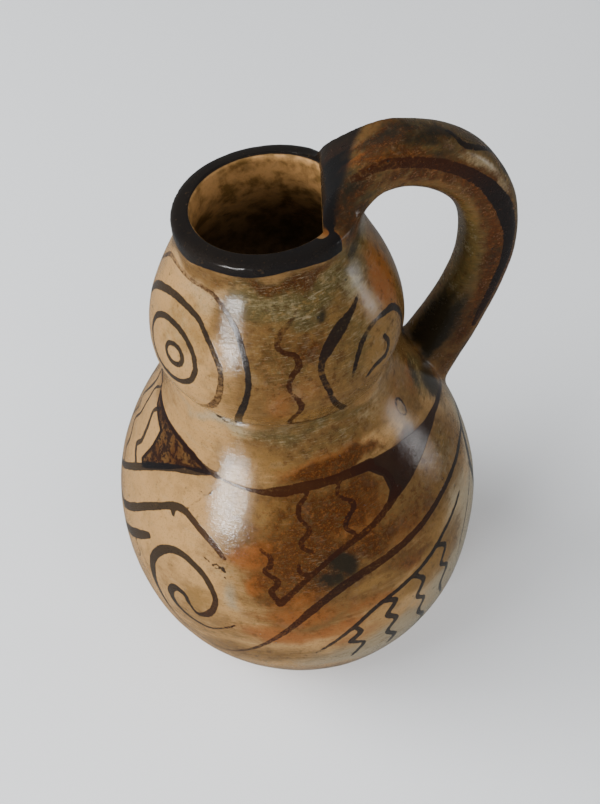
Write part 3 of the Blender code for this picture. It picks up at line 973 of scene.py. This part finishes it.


# Fire clouds and stains, with some painted shade and painted highlights: degrees round, millimetres up,
# half width, half height, strength
CLOUDS = {
    "grey_cloud": [
        (-36, 74, 34, 36, 1), (-40, 108, 8, 12, 1), (-78, 52, 34, 16, 0.9), (-10, 108, 30, 30, 0.8),
        (-150, 226, 50, 6, 0.4), (-58, 190, 16, 10, 0.5), (-120, 169, 50, 4, 0.6), (30, 60, 50, 40, 0.7),
        (100, 190, 40, 30, 0.5), (140, 50, 50, 26, 0.6), (-46, 165, 14, 8, 0.6), (-126, 102, 4, 9, 0.6),
    ],
    "tan_cloud": [
        (-92, 200, 36, 44, 1), (-50, 206, 34, 40, 0.9), (-88, 163, 40, 9, 0.85), (-94, 124, 33, 34, 1),
        (-52, 126, 30, 22, 0.95), (-100, 92, 26, 12, 0.7), (-100, 60, 44, 14, 0.25),
        (-20, 160, 34, 20, 0.8), (-60, 92, 18, 14, 0.55), (-10, 210, 30, 40, 0.9), (30, 190, 50, 50, 0.8),
        (70, 70, 50, 50, 0.7), (100, 125, 40, 30, 0.8), (20, 140, 40, 30, 0.8), (-70, 26, 90, 16, 0.4),
        (90, 20, 90, 18, 0.5), (-160, 233, 60, 5, 0.7), (150, 160, 40, 8, 0.5), (-132, 154, 16, 8, 0.35),
        (-88, 158, 34, 6, 0.9), (-128, 220, 14, 10, 0.65), (-120, 58, 26, 12, 0.5), (-140, 62, 14, 10, 0.3),
        (-132, 76, 20, 18, 0.4), (-150, 92, 14, 18, 0.24), (-134, 214, 12, 14, 0.25),
    ],
    "olive_cloud": [
        (-92, 224, 42, 8, 1), (-100, 231, 36, 5, 0.9), (-100, 206, 20, 16, 0.5), (-58, 224, 22, 8, 0.9),
        (-70, 206, 14, 20, 0.55), (-95, 168, 46, 5, 0.6), (-84, 160, 22, 4, 0.5), (-16, 144, 14, 9, 0.9),
        (-40, 128, 12, 12, 0.5), (100, 205, 40, 20, 0.6), (-26, 172, 18, 10, 0.6), (140, 60, 30, 30, 0.4),
        (60, 165, 50, 8, 0.5), (-30, 232, 50, 8, 0.8), (-96, 112, 8, 10, 0.9), (-46, 194, 10, 10, 0.4),
        (-78, 214, 20, 8, 0.5),
    ],
    "gold_cloud": [
        (-54, 200, 18, 22, 0.9), (-112, 136, 12, 10, 0.9), (-104, 122, 8, 7, 0.7), (-60, 104, 16, 8, 0.8),
        (-84, 101, 6, 4, 0.9), (-66, 88, 14, 12, 0.8), (-116, 200, 8, 24, 0.4), (-112, 157, 20, 6, 0.7),
        (-50, 160, 18, 8, 0.6), (-96, 178, 18, 5, 0.6), (60, 120, 24, 12, 0.7), (30, 200, 20, 20, 0.6),
        (-98, 112, 8, 5, 0.6), (-64, 228, 10, 5, 0.7), (-152, 210, 22, 14, 0.65), (-140, 90, 9, 12, 0.7),
    ],
    "orange_cloud": [
        (-92, 153, 20, 3.6, 0.7), (-74, 150, 12, 3, 0.6), (-60, 240, 4, 3, 0.9), (-120, 121, 6, 6, 1.1),
        (-116, 111, 5, 5, 1), (-99, 80, 15, 6, 0.95), (-106, 101, 8, 5, 0.8), (-84, 88, 9, 5, 0.7),
        (-108, 186, 10, 12, 0.5), (-92, 192, 14, 8, 0.35), (-114, 80, 16, 8, 0.9), (-104, 93, 18, 6, 0.8),
        (-94, 72, 16, 6, 0.5), (-106, 118, 16, 16, 0.45), (-68, 116, 12, 6, 0.5), (-34, 214, 12, 14, 0.95),
        (-42, 158, 10, 6, 0.4), (-84, 133, 14, 9, 0.8), (90, 100, 20, 12, 0.6), (150, 205, 12, 10, 0.3),
        (40, 70, 18, 14, 0.5), (-22, 150, 8, 5, 0.6), (-72, 102, 6, 4, 0.5), (-116, 128, 8, 8, 0.35),
    ],
    "brown_cloud": [
        (-88, 137, 20, 12, 1), (-80, 122, 18, 9, 0.8), (-102, 143, 20, 4, 0.6), (-102, 122, 22, 28, 0.8),
        (-28, 242, 34, 9, 1), (-70, 106, 16, 8, 0.5), (-104, 203, 10, 12, 0.5), (-92, 209, 14, 8, 0.6),
        (-62, 118, 16, 7, 0.5), (-88, 151.4, 20, 3.4, 0.95), (-74, 148.6, 12, 3, 0.9),
        (70, 130, 24, 14, 0.7), (0, 130, 20, 20, 0.5), (-54, 142, 12, 7, 0.7),
        (-96, 231.5, 36, 4, 0.8),
    ],
    "smoke_cloud": [
        (-94, 114.5, 5, 6.5, 0.98), (-98, 108, 5, 4.5, 0.8), (-10, 136, 13, 7, 0.9),
        (-84, 218, 3.6, 3, 0.75), (-90, 219, 9, 3, 0.4), (-20, 244, 26, 6, 0.6), (20, 150, 24, 16, 0.6),
        (-50, 143, 8, 5, 0.55), (-20, 148, 7, 6, 0.6), (-24, 236, 20, 5, 0.6), (-38, 243, 30, 8, 0.55),
        (-44, 233, 9, 4.5, 0.7),
    ],
    # Pale rubbed clay, partly painted highlight: the patches on the left lobe, under the right of the lip,
    # below the waist's fold and round the dent and the pits
    "pale_cloud": [
        (-56, 220, 10, 7, 1), (-105, 225, 18, 4, 0.6), (-112, 165.5, 40, 3.5, 0.4), (-62, 163, 16, 6, 0.6),
        (-127, 167, 8, 4, 0.8), (-43, 152, 6, 7, 0.6), (-60, 208, 8, 8, 0.4), (-70, 226, 14, 6, 0.5),
        (-127, 111, 5, 9, 0.5), (-156, 204, 20, 20, 0.5), (60, 168, 40, 4, 0.5), (150, 110, 20, 14, 0.4),
    ],
}

# The same for the handle: degrees round its section, millimetres along it
HANDLE_CLOUDS = {
    # Pale clay, and at 141 and 143 degrees a painted highlight along the handle's top between the zigzag
    # and the stripe
    "pale_cloud": [
        (141, 66, 12, 14, 0.9), (143, 80, 9, 10, 0.8), (205, 44, 10, 10, 0.4), (160, 24, 12, 5, 0.35),
        (203, 66, 10, 12, 0.4),
    ],
    # The grey patch at 141 degrees is part of the painted highlight on the handle's top
    "grey_cloud": [(90, 66, 60, 30, 0.3), (141, 71, 10, 15, 1.1), (199, 42, 14, 14, 0.6)],
    "tan_cloud": [(180, 90, 90, 120, 1), (0, 90, 90, 120, 1), (90, 90, 90, 120, 1), (-90, 90, 90, 120, 1)],
    "olive_cloud": [
        (90, 110, 62, 90, 1), (90, 52, 54, 30, 1), (-110, 110, 60, 100, 0.7), (170, 20, 50, 14, 0.8),
        (0, 100, 60, 100, 0.8), (128, 44, 26, 14, 0.9), (186, 40, 14, 16, 0.7),
    ],
    # The gold patch at 141 degrees is part of the painted highlight on the handle's top
    "gold_cloud": [
        (141, 70, 8, 14, 1), (128, 84, 10, 10, 0.8), (203, 66, 12, 16, 0.7), (93, 40, 8, 4, 0.8),
        (126, 30, 10, 3.5, 1.1), (184, 18, 14, 8, 0.8), (170, 130, 20, 20, 0.4), (30, 60, 20, 14, 0.5),
        (-130, 100, 24, 40, 0.7), (194, 90, 10, 14, 0.5),
    ],
    "orange_cloud": [
        (128, 25, 16, 5, 1.25), (144, 27, 8, 4, 1), (112, 31, 8, 4, 0.8), (152, 42, 8, 8, 0.7),
        (192, 102, 14, 14, 0.8), (73, 25, 8, 3, 0.7), (190, 130, 14, 16, 0.6), (100, 38, 12, 4, 0.5),
        (186, 74, 10, 10, 0.5), (-140, 70, 20, 30, 0.4), (40, 20, 20, 6, 0.7),
    ],
    "brown_cloud": [
        (176, 100, 44, 90, 1), (90, 140, 70, 40, 0.8), (150, 11, 80, 11, 1.1), (-90, 60, 60, 40, 0.7),
        (110, 48, 60, 16, 0.55), (190, 45, 34, 18, 0.8), (150, 36, 40, 16, 0.7), (90, 80, 60, 30, 0.55),
        (95, 34, 60, 10, 0.9), (165, 19, 20, 10, 1),
    ],
    # Smoke and slip on the root's top; the patches at negative degrees, on the inner side facing the body,
    # are painted shade
    "smoke_cloud": [
        (88, 15, 44, 8, 1.2), (122, 15, 16, 6, 1), (152, 11, 14, 5, 0.8), (84, 38, 30, 7, 0.7),
        (122, 43, 14, 8, 0.7), (109, 50, 14, 7, 0.8), (150, 17, 26, 8, 0.75), (108, 47, 26, 7, 0.75),
        (-120, 160, 50, 24, 1), (105, 10, 60, 8, 1), (-100, 100, 24, 60, 0.4), (120, 172, 50, 12, 0.7),
        (95, 62, 40, 12, 0.5), (150, 50, 20, 8, 0.6), (-168, 20, 20, 10, 0.6), (90, 100, 40, 24, 0.62),
        (186, 118, 20, 8, 0.5), (170, 148, 26, 8, 0.6), (90, 36, 50, 12, 0.62), (176, 12, 40, 10, 0.5),
        (100, 130, 50, 30, 0.6),
    ],
}


def on_handle(places, gap, sizes):
    """The places off the body: which, how fully, and their turn and length along the handle."""
    frames = handle_frames(sizes)
    middles, sideways, outward = (np.array([tuple(f[i]) for f in frames]) for i in range(3))
    middles[:, 0] += leaning(middles[:, 2], sizes)
    lengths = np.array([f[4] for f in frames]) / MILLIMETRE
    chosen = np.flatnonzero(gap < -HANDLE_FROM)
    fully = np.clip(-gap[chosen] / HANDLE_BLEND, 0, 1)
    from_middles = places[chosen, None, :] - middles[None, :, :]
    closest = np.argmin((from_middles**2).sum(2), axis=1)
    away = from_middles[np.arange(len(chosen)), closest]
    out = (away * outward[closest]).sum(1)
    turn = np.degrees(np.arctan2(out, (away * sideways[closest]).sum(1)))
    forward = np.cross(sideways, outward)
    forward *= np.sign((middles[1] - middles[0]) @ forward[0])
    rise = lengths[closest] + (away * forward[closest]).sum(1) / MILLIMETRE
    return chosen, fully, turn, rise


def laid_in(turn, rise, radius, rise_of):
    """Edge distance, darkness and redness of the nearest area laid in with slip."""
    edge = np.full(len(turn), BRUSH_REACH)
    dark = np.zeros(len(turn))
    red = np.zeros(len(turn))
    for points, area_dark, area_red in fills():
        risen = [(p[0], float(rise_of(p[1]))) for p in points]
        distance, _ = nearest_on(turn, rise, radius, risen + risen[:1])
        distance = np.where(inside_of(turn, rise, risen), -distance, distance)
        better = distance < edge
        edge[better] = distance[better]
        dark[better] = area_dark
        red[better] = area_red
    return edge, dark, red


def lip_slip(turn, depth, beyond, sidelong, shell):
    """Distance from the edge of the lip's slip, which runs out onto the handle's root."""
    waver = sum(h * np.sin(np.radians(turn * waves + phase)) for h, waves, phase in LIP_WAVER)
    past = beyond / MILLIMETRE - np.interp(sidelong, *zip(*ROOT_SLIP))
    chipped = np.hypot(beyond - CHIP_PLACE[0], sidelong - CHIP_PLACE[1]) / MILLIMETRE
    edges = (depth - LIP_SLIP + waver, past, CHIP_RADIUS - chipped, -shell - INNER_SLIP)
    return np.maximum.reduce(edges)


def paint_jar(jar, sizes):
    """Measures the brushwork, fills and clouds on the clay and keeps them as numbers on its mesh."""
    places = places_of(jar.data)
    top = lip_height(sizes)
    unleaned = places.copy()
    unleaned[:, 0] -= leaning(places[:, 2], sizes)
    turn = np.degrees(np.arctan2(unleaned[:, 1], unleaned[:, 0]))
    radius = np.hypot(unleaned[:, 0], unleaned[:, 1])
    profile = np.array([tuple(p) for p in outline(sizes)] + [(sizes.rim_radius, top)])
    arc = np.concatenate([[0], np.cumsum(np.hypot(*np.diff(profile, axis=0).T))]) / MILLIMETRE

    def rise_of(height_mm):
        return np.interp(height_mm, profile[:, 1] / MILLIMETRE, arc)

    height_mm = places[:, 2] / MILLIMETRE
    rise = rise_of(height_mm)
    gap = np.interp(places[:, 2], profile[:, 1], profile[:, 0]) - radius
    gap = np.where(places[:, 2] > top, np.minimum(top - places[:, 2], gap), gap)
    beyond = past_chord(unleaned, sizes)
    mouth = sizes.rim_radius - sizes.lip_width + LIP_ROUND / 2
    at_lip = np.maximum(radius - mouth, beyond)
    shell = np.where(places[:, 2] > top - LIP_BAND, at_lip, sizes.wall / 2 - gap) / MILLIMETRE

    radius_mm = np.maximum(radius, NEAREST_AXIS) / MILLIMETRE
    slip = brushed(turn, rise, radius_mm, body_strokes(), rise_of)
    fill = laid_in(turn, rise, radius_mm, rise_of)
    chosen, fully, grip_turn, grip_rise = on_handle(places, gap, sizes)
    handle = np.zeros(len(turn))
    handle[chosen] = fully
    grip_radius = np.full(len(chosen), sizes.grip_half_depth / MILLIMETRE)
    grip_slip = brushed(grip_turn, grip_rise, grip_radius, handle_strokes(), lambda value: value)
    on_grip = fully > 0.5
    for measured, on_strap in zip(slip, grip_slip):
        measured[chosen[on_grip]] = on_strap[on_grip]
    fill[0][chosen[on_grip]] = BRUSH_REACH
    inner = shell < -INNER_FROM
    slip[0][inner] = BRUSH_REACH
    fill[0][inner] = BRUSH_REACH

    sidelong = unleaned @ np.cross(UP, chord_direction())
    lip = lip_slip(turn, top / MILLIMETRE - height_mm, beyond, sidelong, shell)
    kept = {"shell": shell, "lip": lip, "handle": handle}
    kept.update(zip(("slip", "slip_rust", "slip_wear"), slip))
    kept.update(zip(("fill", "fill_dark", "fill_red"), fill))
    for name, blobs in CLOUDS.items():
        kept[name] = clouded(turn, height_mm, blobs)
        on_strap = clouded(grip_turn, grip_rise, HANDLE_CLOUDS[name])
        kept[name][chosen] += fully * (on_strap - kept[name][chosen])
    for name, values in kept.items():
        attribute = jar.data.attributes.new(name, "FLOAT", "POINT")
        limited = np.clip(values, -KEPT_REACH, KEPT_REACH)
        attribute.data.foreach_set("value", limited.astype(np.float32))


class Tone:
    """A socket of the finish that can be written into sums as if it were a number."""

    def __init__(self, socket):
        self.socket = socket

    def math(self, operation, *values):
        settings = {"operation": operation}
        return add_node(self.socket.id_data, "ShaderNodeMath", settings, dict(enumerate(values)))

    def __add__(self, other):
        return self.math("ADD", self, other)

    def __sub__(self, other):
        return self.math("SUBTRACT", self, other)

    def __rsub__(self, other):
        return self.math("SUBTRACT", other, self)

    def __mul__(self, other):
        return self.math("MULTIPLY", self, other)

    __radd__ = __add__
    __rmul__ = __mul__

    def most(self, other):
        return self.math("MAXIMUM", self, other)

    def least(self, other):
        return self.math("MINIMUM", self, other)

    def above(self, low, high):
        """0 at low, 1 at high and smooth between them."""
        inputs = {"Value": self, "From Min": low, "From Max": high}
        settings = {"interpolation_type": "SMOOTHSTEP"}
        return add_node(self.socket.id_data, "ShaderNodeMapRange", settings, inputs)

    def below(self, low, high):
        """1 at low, 0 at high and smooth between them."""
        return 1 - self.above(low, high)


def add_node(tree, kind, settings, inputs, output=0):
    """One node: its settings first, then the values or links of its sockets."""
    made = tree.nodes.new(kind)
    for name, value in settings.items():
        setattr(made, name, value)
    for name, value in inputs.items():
        if isinstance(value, Tone):
            tree.links.new(value.socket, made.inputs[name])
        else:
            made.inputs[name].default_value = value
    return Tone(made.outputs[output])


def slip_painted(colours):
    """Burnished clay: fire clouds, brushed slip, burnishing streaks, pits, painted highlights and painted
    shade.
    """
    material = bpy.data.materials.new("slip painted clay")
    material.use_nodes = True
    tree = material.node_tree
    shader = tree.nodes["Principled BSDF"].inputs
    where = add_node(tree, "ShaderNodeTexCoord", {}, {}, "Object")

    def kept(name):
        return add_node(tree, "ShaderNodeAttribute", {"attribute_name": name}, {}, "Fac")

    def noise(size_mm, detail, roughness, shift, squeeze=1):
        scale = 1 / (size_mm * MILLIMETRE)
        place = {"Vector": where, "Scale": (scale, scale, scale * squeeze)}
        place["Location"] = (shift, shift * 1.7, -shift)
        placed = add_node(tree, "ShaderNodeMapping", {}, place)
        inputs = {"Vector": placed, "Scale": 1, "Detail": detail, "Roughness": roughness}
        return add_node(tree, "ShaderNodeTexNoise", {}, inputs, "Fac")

    def laid_over(ground, *layers):
        """Colours laid over a ground one by one, each with the share that it covers."""
        for share, tint in layers:
            pair = [tone if isinstance(tone, Tone) else (*tone, 1) for tone in (ground, tint)]
            inputs = {0: share, 6: pair[0], 7: pair[1]}
            ground = add_node(tree, "ShaderNodeMix", {"data_type": "RGBA"}, inputs, 2)
        return ground

    def cloud(strength, breaking, low, high, depth):
        return (strength + (breaking - 0.5) * depth).above(low, high)

    # Patterns: size in millimetres, detail, roughness and shift
    wide = noise(26, 3, 0.5, 0)
    mottle = noise(7, 5, 0.62, 3)
    patches = noise(3.2, 4, 0.65, 21)
    speck = noise(1.3, 3, 0.7, 7)
    grain = noise(0.6, 2, 0.5, 11)
    streak = noise(11, 4, 0.65, 5, squeeze=8)
    fine_streak = noise(3.6, 3, 0.7, 13, squeeze=7)
    broken = mottle * 0.5 + streak * 0.5
    rubbed = patches * 0.4 + fine_streak * 0.3 + speck * 0.3

    handle = kept("handle")
    names = ("grey", "tan", "olive", "gold", "orange", "brown")
    grey, tan, olive, gold, orange, brown = (kept(name + "_cloud") for name in names)
    busy = tan.most(olive).most(brown).least(1)
    calm = 1 - busy
    lighter = 1 - (brown + orange * 0.5).least(1) * 0.9
    glowing = (brown + orange * 0.8).least(1)
    streaky = (olive * 0.9 + tan * 0.2).least(1) * (0.45 - handle * 0.3)
    grainy = (0.03 + olive * 0.15).least(0.18) * (1 - handle)
    # Layers from the ground up: how much of it each covers, mostly where a pattern lies between two
    # values, and its colour
    clay = laid_over(
        colours.cream,
        (wide.above(0.4, 0.7) * 0.3, colours.tan),
        (mottle.above(0.5, 0.64) * 0.3, colours.gold),
        (streak.below(0.34, 0.48) * 0.16, colours.grey),
        (cloud(grey, mottle, 0.15, 0.8, 0.8), colours.grey),
        (cloud(tan, broken, 0.05, 0.62, 0.9) * 0.96, colours.tan),
        (cloud(gold, mottle, 0.25, 0.8, 1.2) * 0.85, colours.gold),
        (cloud(orange, mottle, 0.1, 0.95, 0.9) * 0.85, colours.orange),
        (cloud(olive, broken, 0.25, 0.8, 1.2) * 0.8, colours.olive),
        (cloud(brown, mottle, 0.2, 0.8, 1.2) * 0.9, colours.brown),
        (patches.above(0.52, 0.62) * busy * lighter * 0.5, colours.gold),
        (mottle.above(0.54, 0.66) * busy * lighter * 0.2, colours.grey),
        (patches.below(0.36, 0.46) * busy * 0.6, colours.brown),
        (speck.above(0.48, 0.72) * glowing * 0.5, colours.orange),
        (fine_streak.above(0.56, 0.66) * streaky, colours.grey),
        (fine_streak.below(0.34, 0.44) * olive * 0.7, colours.smoke_and_shade),
        (speck.below(0.32, 0.42) * busy * 0.5, colours.olive),
        (speck.above(0.58, 0.68) * calm * 0.45, colours.tan),
        (patches.below(0.3, 0.38) * calm * 0.5, colours.olive),
        (speck.below(0.3, 0.36) * calm * 0.5, colours.brown),
        (grain.below(0.34, 0.44) * 0.3, colours.olive),
        (grain.above(0.57, 0.68) * grainy, colours.worn),
        # Smoke stains and slip, and painted shade on the handle's inner side
        (cloud(kept("smoke_cloud"), patches, 0.2, 0.85, 1) * 0.95, colours.smoke_and_shade),
        # Pale rubbed clay, partly painted highlights on the handle's top and on the body
        (cloud(kept("pale_cloud"), rubbed, 0.3, 1.1, 3) * 0.5, colours.worn),
    )

    edge = kept("slip") + (patches - 0.5) * 0.9 + (speck - 0.5) * 0.6 + (mottle - 0.5) * 0.8
    worn = kept("slip_wear") * 1.1 + (speck - 0.5) * 1.6 + (streak - 0.5)
    painted = edge.below(-0.12, 0.2) * (1 - worn.above(0.2, 1) * 0.8)
    slip = laid_over(colours.black, (kept("slip_rust"), colours.rust))

    fill = kept("fill")
    filled = (fill + (mottle - 0.5) * 0.8).below(-0.2, 0.3)
    open_work = ((1 - kept("fill_dark")) * 4).least(1) * filled
    amber = laid_over(colours.brown, (mottle.above(0.42, 0.62) * 0.7, colours.tan))
    holes = (patches * 0.8 + speck * 0.3).above(0.5, 0.62) * open_work
    laid = filled * (1 - holes * (fill + 1.6).below(-0.6, 0.4) * 0.85)
    reddened = (kept("fill_red") + (wide - 0.5) * 0.8).above(0, 0.9)
    fill_tone = laid_over(colours.black, (reddened, colours.rust))

    lip_edge = kept("lip") + (mottle - 0.5) * 1.4 + (speck - 0.5) * 0.5
    on_lip = lip_edge.below(-0.15 - handle * 1.4, 0.25 + handle * 2)
    lip_worn = (speck * 0.6 + patches * 0.5).above(0.63, 0.74) * 0.5

    inner = kept("shell").below(-0.5, -0.1)
    height_up = add_node(tree, "ShaderNodeSeparateXYZ", {}, {"Vector": where}, "Z")
    bare = laid_over(
        colours.bare,
        (mottle.above(0.38, 0.66), colours.gold),
        (patches.above(0.52, 0.7) * 0.7, colours.cream),
        (speck.above(0.6, 0.75) * 0.5, colours.orange),
        (patches.below(0.3, 0.44) * 0.25, colours.brown),
        # Painted shade: the clay inside grows darker from below the lip down into the hollow
        (height_up.below(0.19, 0.236) * 0.85, colours.smoke_and_shade),
    )
    pits = add_node(
        tree, "ShaderNodeTexVoronoi", {}, {"Vector": where, "Scale": 190, "Randomness": 1}, "Distance"
    )
    pit = pits.below(0.05, 0.11) * noise(11, 1, 0.5, 17).above(0.55, 0.62)
    colour = laid_over(
        clay,
        (open_work * 0.9, amber),
        (laid * 0.94, fill_tone),
        (painted * 0.92, slip),
        (on_lip * (1 - lip_worn * 0.3) * (0.98 - handle * 0.06), colours.black),
        (inner, bare),
        (pit * 0.8, colours.smoke_and_shade),
    )
    rough = 0.07 + mottle * 0.11 + speck * 0.07 + handle * 0.1 + inner * 0.45 + pit * 0.3
    thickness = painted.most(laid).most(on_lip) * 0.03 + mottle * 0.15 + fine_streak * 0.07
    thickness = thickness + speck * 0.04 + patches * 0.05 + grain * 0.01 - pit * 0.35
    inputs = {"Strength": 1, "Distance": MILLIMETRE, "Height": thickness}
    bump = add_node(tree, "ShaderNodeBump", {}, inputs, "Normal")
    for name, tone in {"Base Color": colour, "Roughness": rough, "Normal": bump}.items():
        tree.links.new(tone.socket, shader[name])
    shader["IOR"].default_value = 1.45
    shader["Specular IOR Level"].default_value = 0.3
    return material


def plain_floor(colours):
    material = bpy.data.materials.new("pale floor")
    material.use_nodes = True
    shader = material.node_tree.nodes["Principled BSDF"]
    shader.inputs["Base Color"].default_value = (*colours, 1.0)
    shader.inputs["Roughness"].default_value = 0.9
    shader.inputs["Specular IOR Level"].default_value = 0.1
    return material


class JAR_OT_make_jar(Operator):
    """Model the jar in clay, lay out its brushwork and give it its burnished finish"""

    bl_idname = "jar.make_jar"
    bl_label = "Make painted jar"

    def execute(self, context):
        scene = context.scene
        jar = model_jar(scene.jar_sizes)
        paint_jar(jar, scene.jar_sizes)
        jar.data.materials.clear()
        jar.data.materials.append(slip_painted(scene.jar_colours))
        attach(jar, "root")
        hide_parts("jar")
        return {"FINISHED"}


def soft_light(name, direction, distance, size, power, in_gloss):
    """A soft window of light that looks at the jar from a direction."""
    aim = Vector(LIGHT_AIM)
    place = aim + distance * Vector(direction).normalized()
    bpy.ops.object.light_add(type="AREA", location=place)
    light = bpy.context.object
    light.name = name
    light.rotation_euler = (aim - place).to_track_quat("-Z", "Y").to_euler()
    light.visible_glossy = in_gloss
    light.data.shape = "RECTANGLE"
    light.data.size, light.data.size_y = size
    light.data.energy = power


def place_camera(studio):
    """Looks down at the jar from the front and a little to its left, rolled a few degrees."""
    turn, fall, roll = (math.radians(angle) for angle in CAMERA_ANGLES)
    right = Vector((math.cos(turn), math.sin(turn), 0))
    ahead = Vector((-math.sin(turn), math.cos(turn), 0))
    forward = math.cos(fall) * ahead - math.sin(fall) * UP
    upward = math.sin(fall) * ahead + math.cos(fall) * UP
    across = math.cos(roll) * right - math.sin(roll) * upward
    over = math.sin(roll) * right + math.cos(roll) * upward
    shift = CAMERA_SHIFT[0] * across + CAMERA_SHIFT[1] * over
    place = Vector(CAMERA_AIM) - studio.camera_distance * (forward + shift)
    bpy.ops.object.camera_add(location=place)
    camera = bpy.context.object
    camera.rotation_euler = Matrix((across, over, -forward)).transposed().to_euler()
    camera.data.lens = studio.lens
    bpy.context.scene.camera = camera


class JAR_OT_set_stage(Operator):
    """Put a plain pale floor, soft lights and the camera round the jar"""

    bl_idname = "jar.set_stage"
    bl_label = "Set the stage"

    def execute(self, context):
        studio = context.scene.jar_studio
        bpy.ops.mesh.primitive_plane_add(size=FLOOR_SIZE)
        floor = bpy.context.object
        floor.name = "floor"
        floor.data.materials.append(plain_floor(studio.floor_tone))
        floor.visible_glossy = False
        floor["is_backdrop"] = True
        for name, power, direction, distance, size, in_gloss in LIGHTS:
            soft_light(name, direction, distance, size, getattr(studio, power), in_gloss)
        world = bpy.data.worlds.new("room")
        context.scene.world = world
        world.use_nodes = True
        background = world.node_tree.nodes["Background"].inputs
        background["Color"].default_value = ROOM_COLOUR
        background["Strength"].default_value = studio.room_light
        place_camera(studio)
        return {"FINISHED"}


class JAR_PT_panel(Panel):
    """Lists the steps that build the jar and their settings"""

    bl_idname = "JAR_PT_panel"
    bl_label = "Two-lobe jar"
    bl_space_type = "VIEW_3D"
    bl_region_type = "UI"
    bl_category = "Jar"

    def draw(self, context):
        layout = self.layout
        for operator in OPERATORS:
            layout.operator(operator.bl_idname)
        for name, group in SETTINGS.items():
            box = layout.box()
            box.label(text=group.__doc__)
            for setting in group.__annotations__:
                box.prop(getattr(context.scene, name), setting)


SETTINGS = {"jar_sizes": JarSizes, "jar_colours": SlipColours, "jar_studio": StudioLight}
OPERATORS = (JAR_OT_make_jar, JAR_OT_set_stage)


def register():
    for group in SETTINGS.values():
        bpy.utils.register_class(group)
    for name, group in SETTINGS.items():
        setattr(bpy.types.Scene, name, PointerProperty(type=group))
    for operator in OPERATORS:
        bpy.utils.register_class(operator)
    bpy.utils.register_class(JAR_PT_panel)


def unregister():
    bpy.utils.unregister_class(JAR_PT_panel)
    for operator in reversed(OPERATORS):
        bpy.utils.unregister_class(operator)
    for name in SETTINGS:
        delattr(bpy.types.Scene, name)
    for group in reversed(SETTINGS.values()):
        bpy.utils.unregister_class(group)


def main():
    register()
    bpy.ops.jar.make_jar()
    bpy.ops.jar.set_stage()
    boxes = {"cad": cad_box, "visual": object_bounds()}
    boxes = {name: [list(corner) for corner in box] for name, box in boxes.items()}


if __name__ == "__main__":
    main()
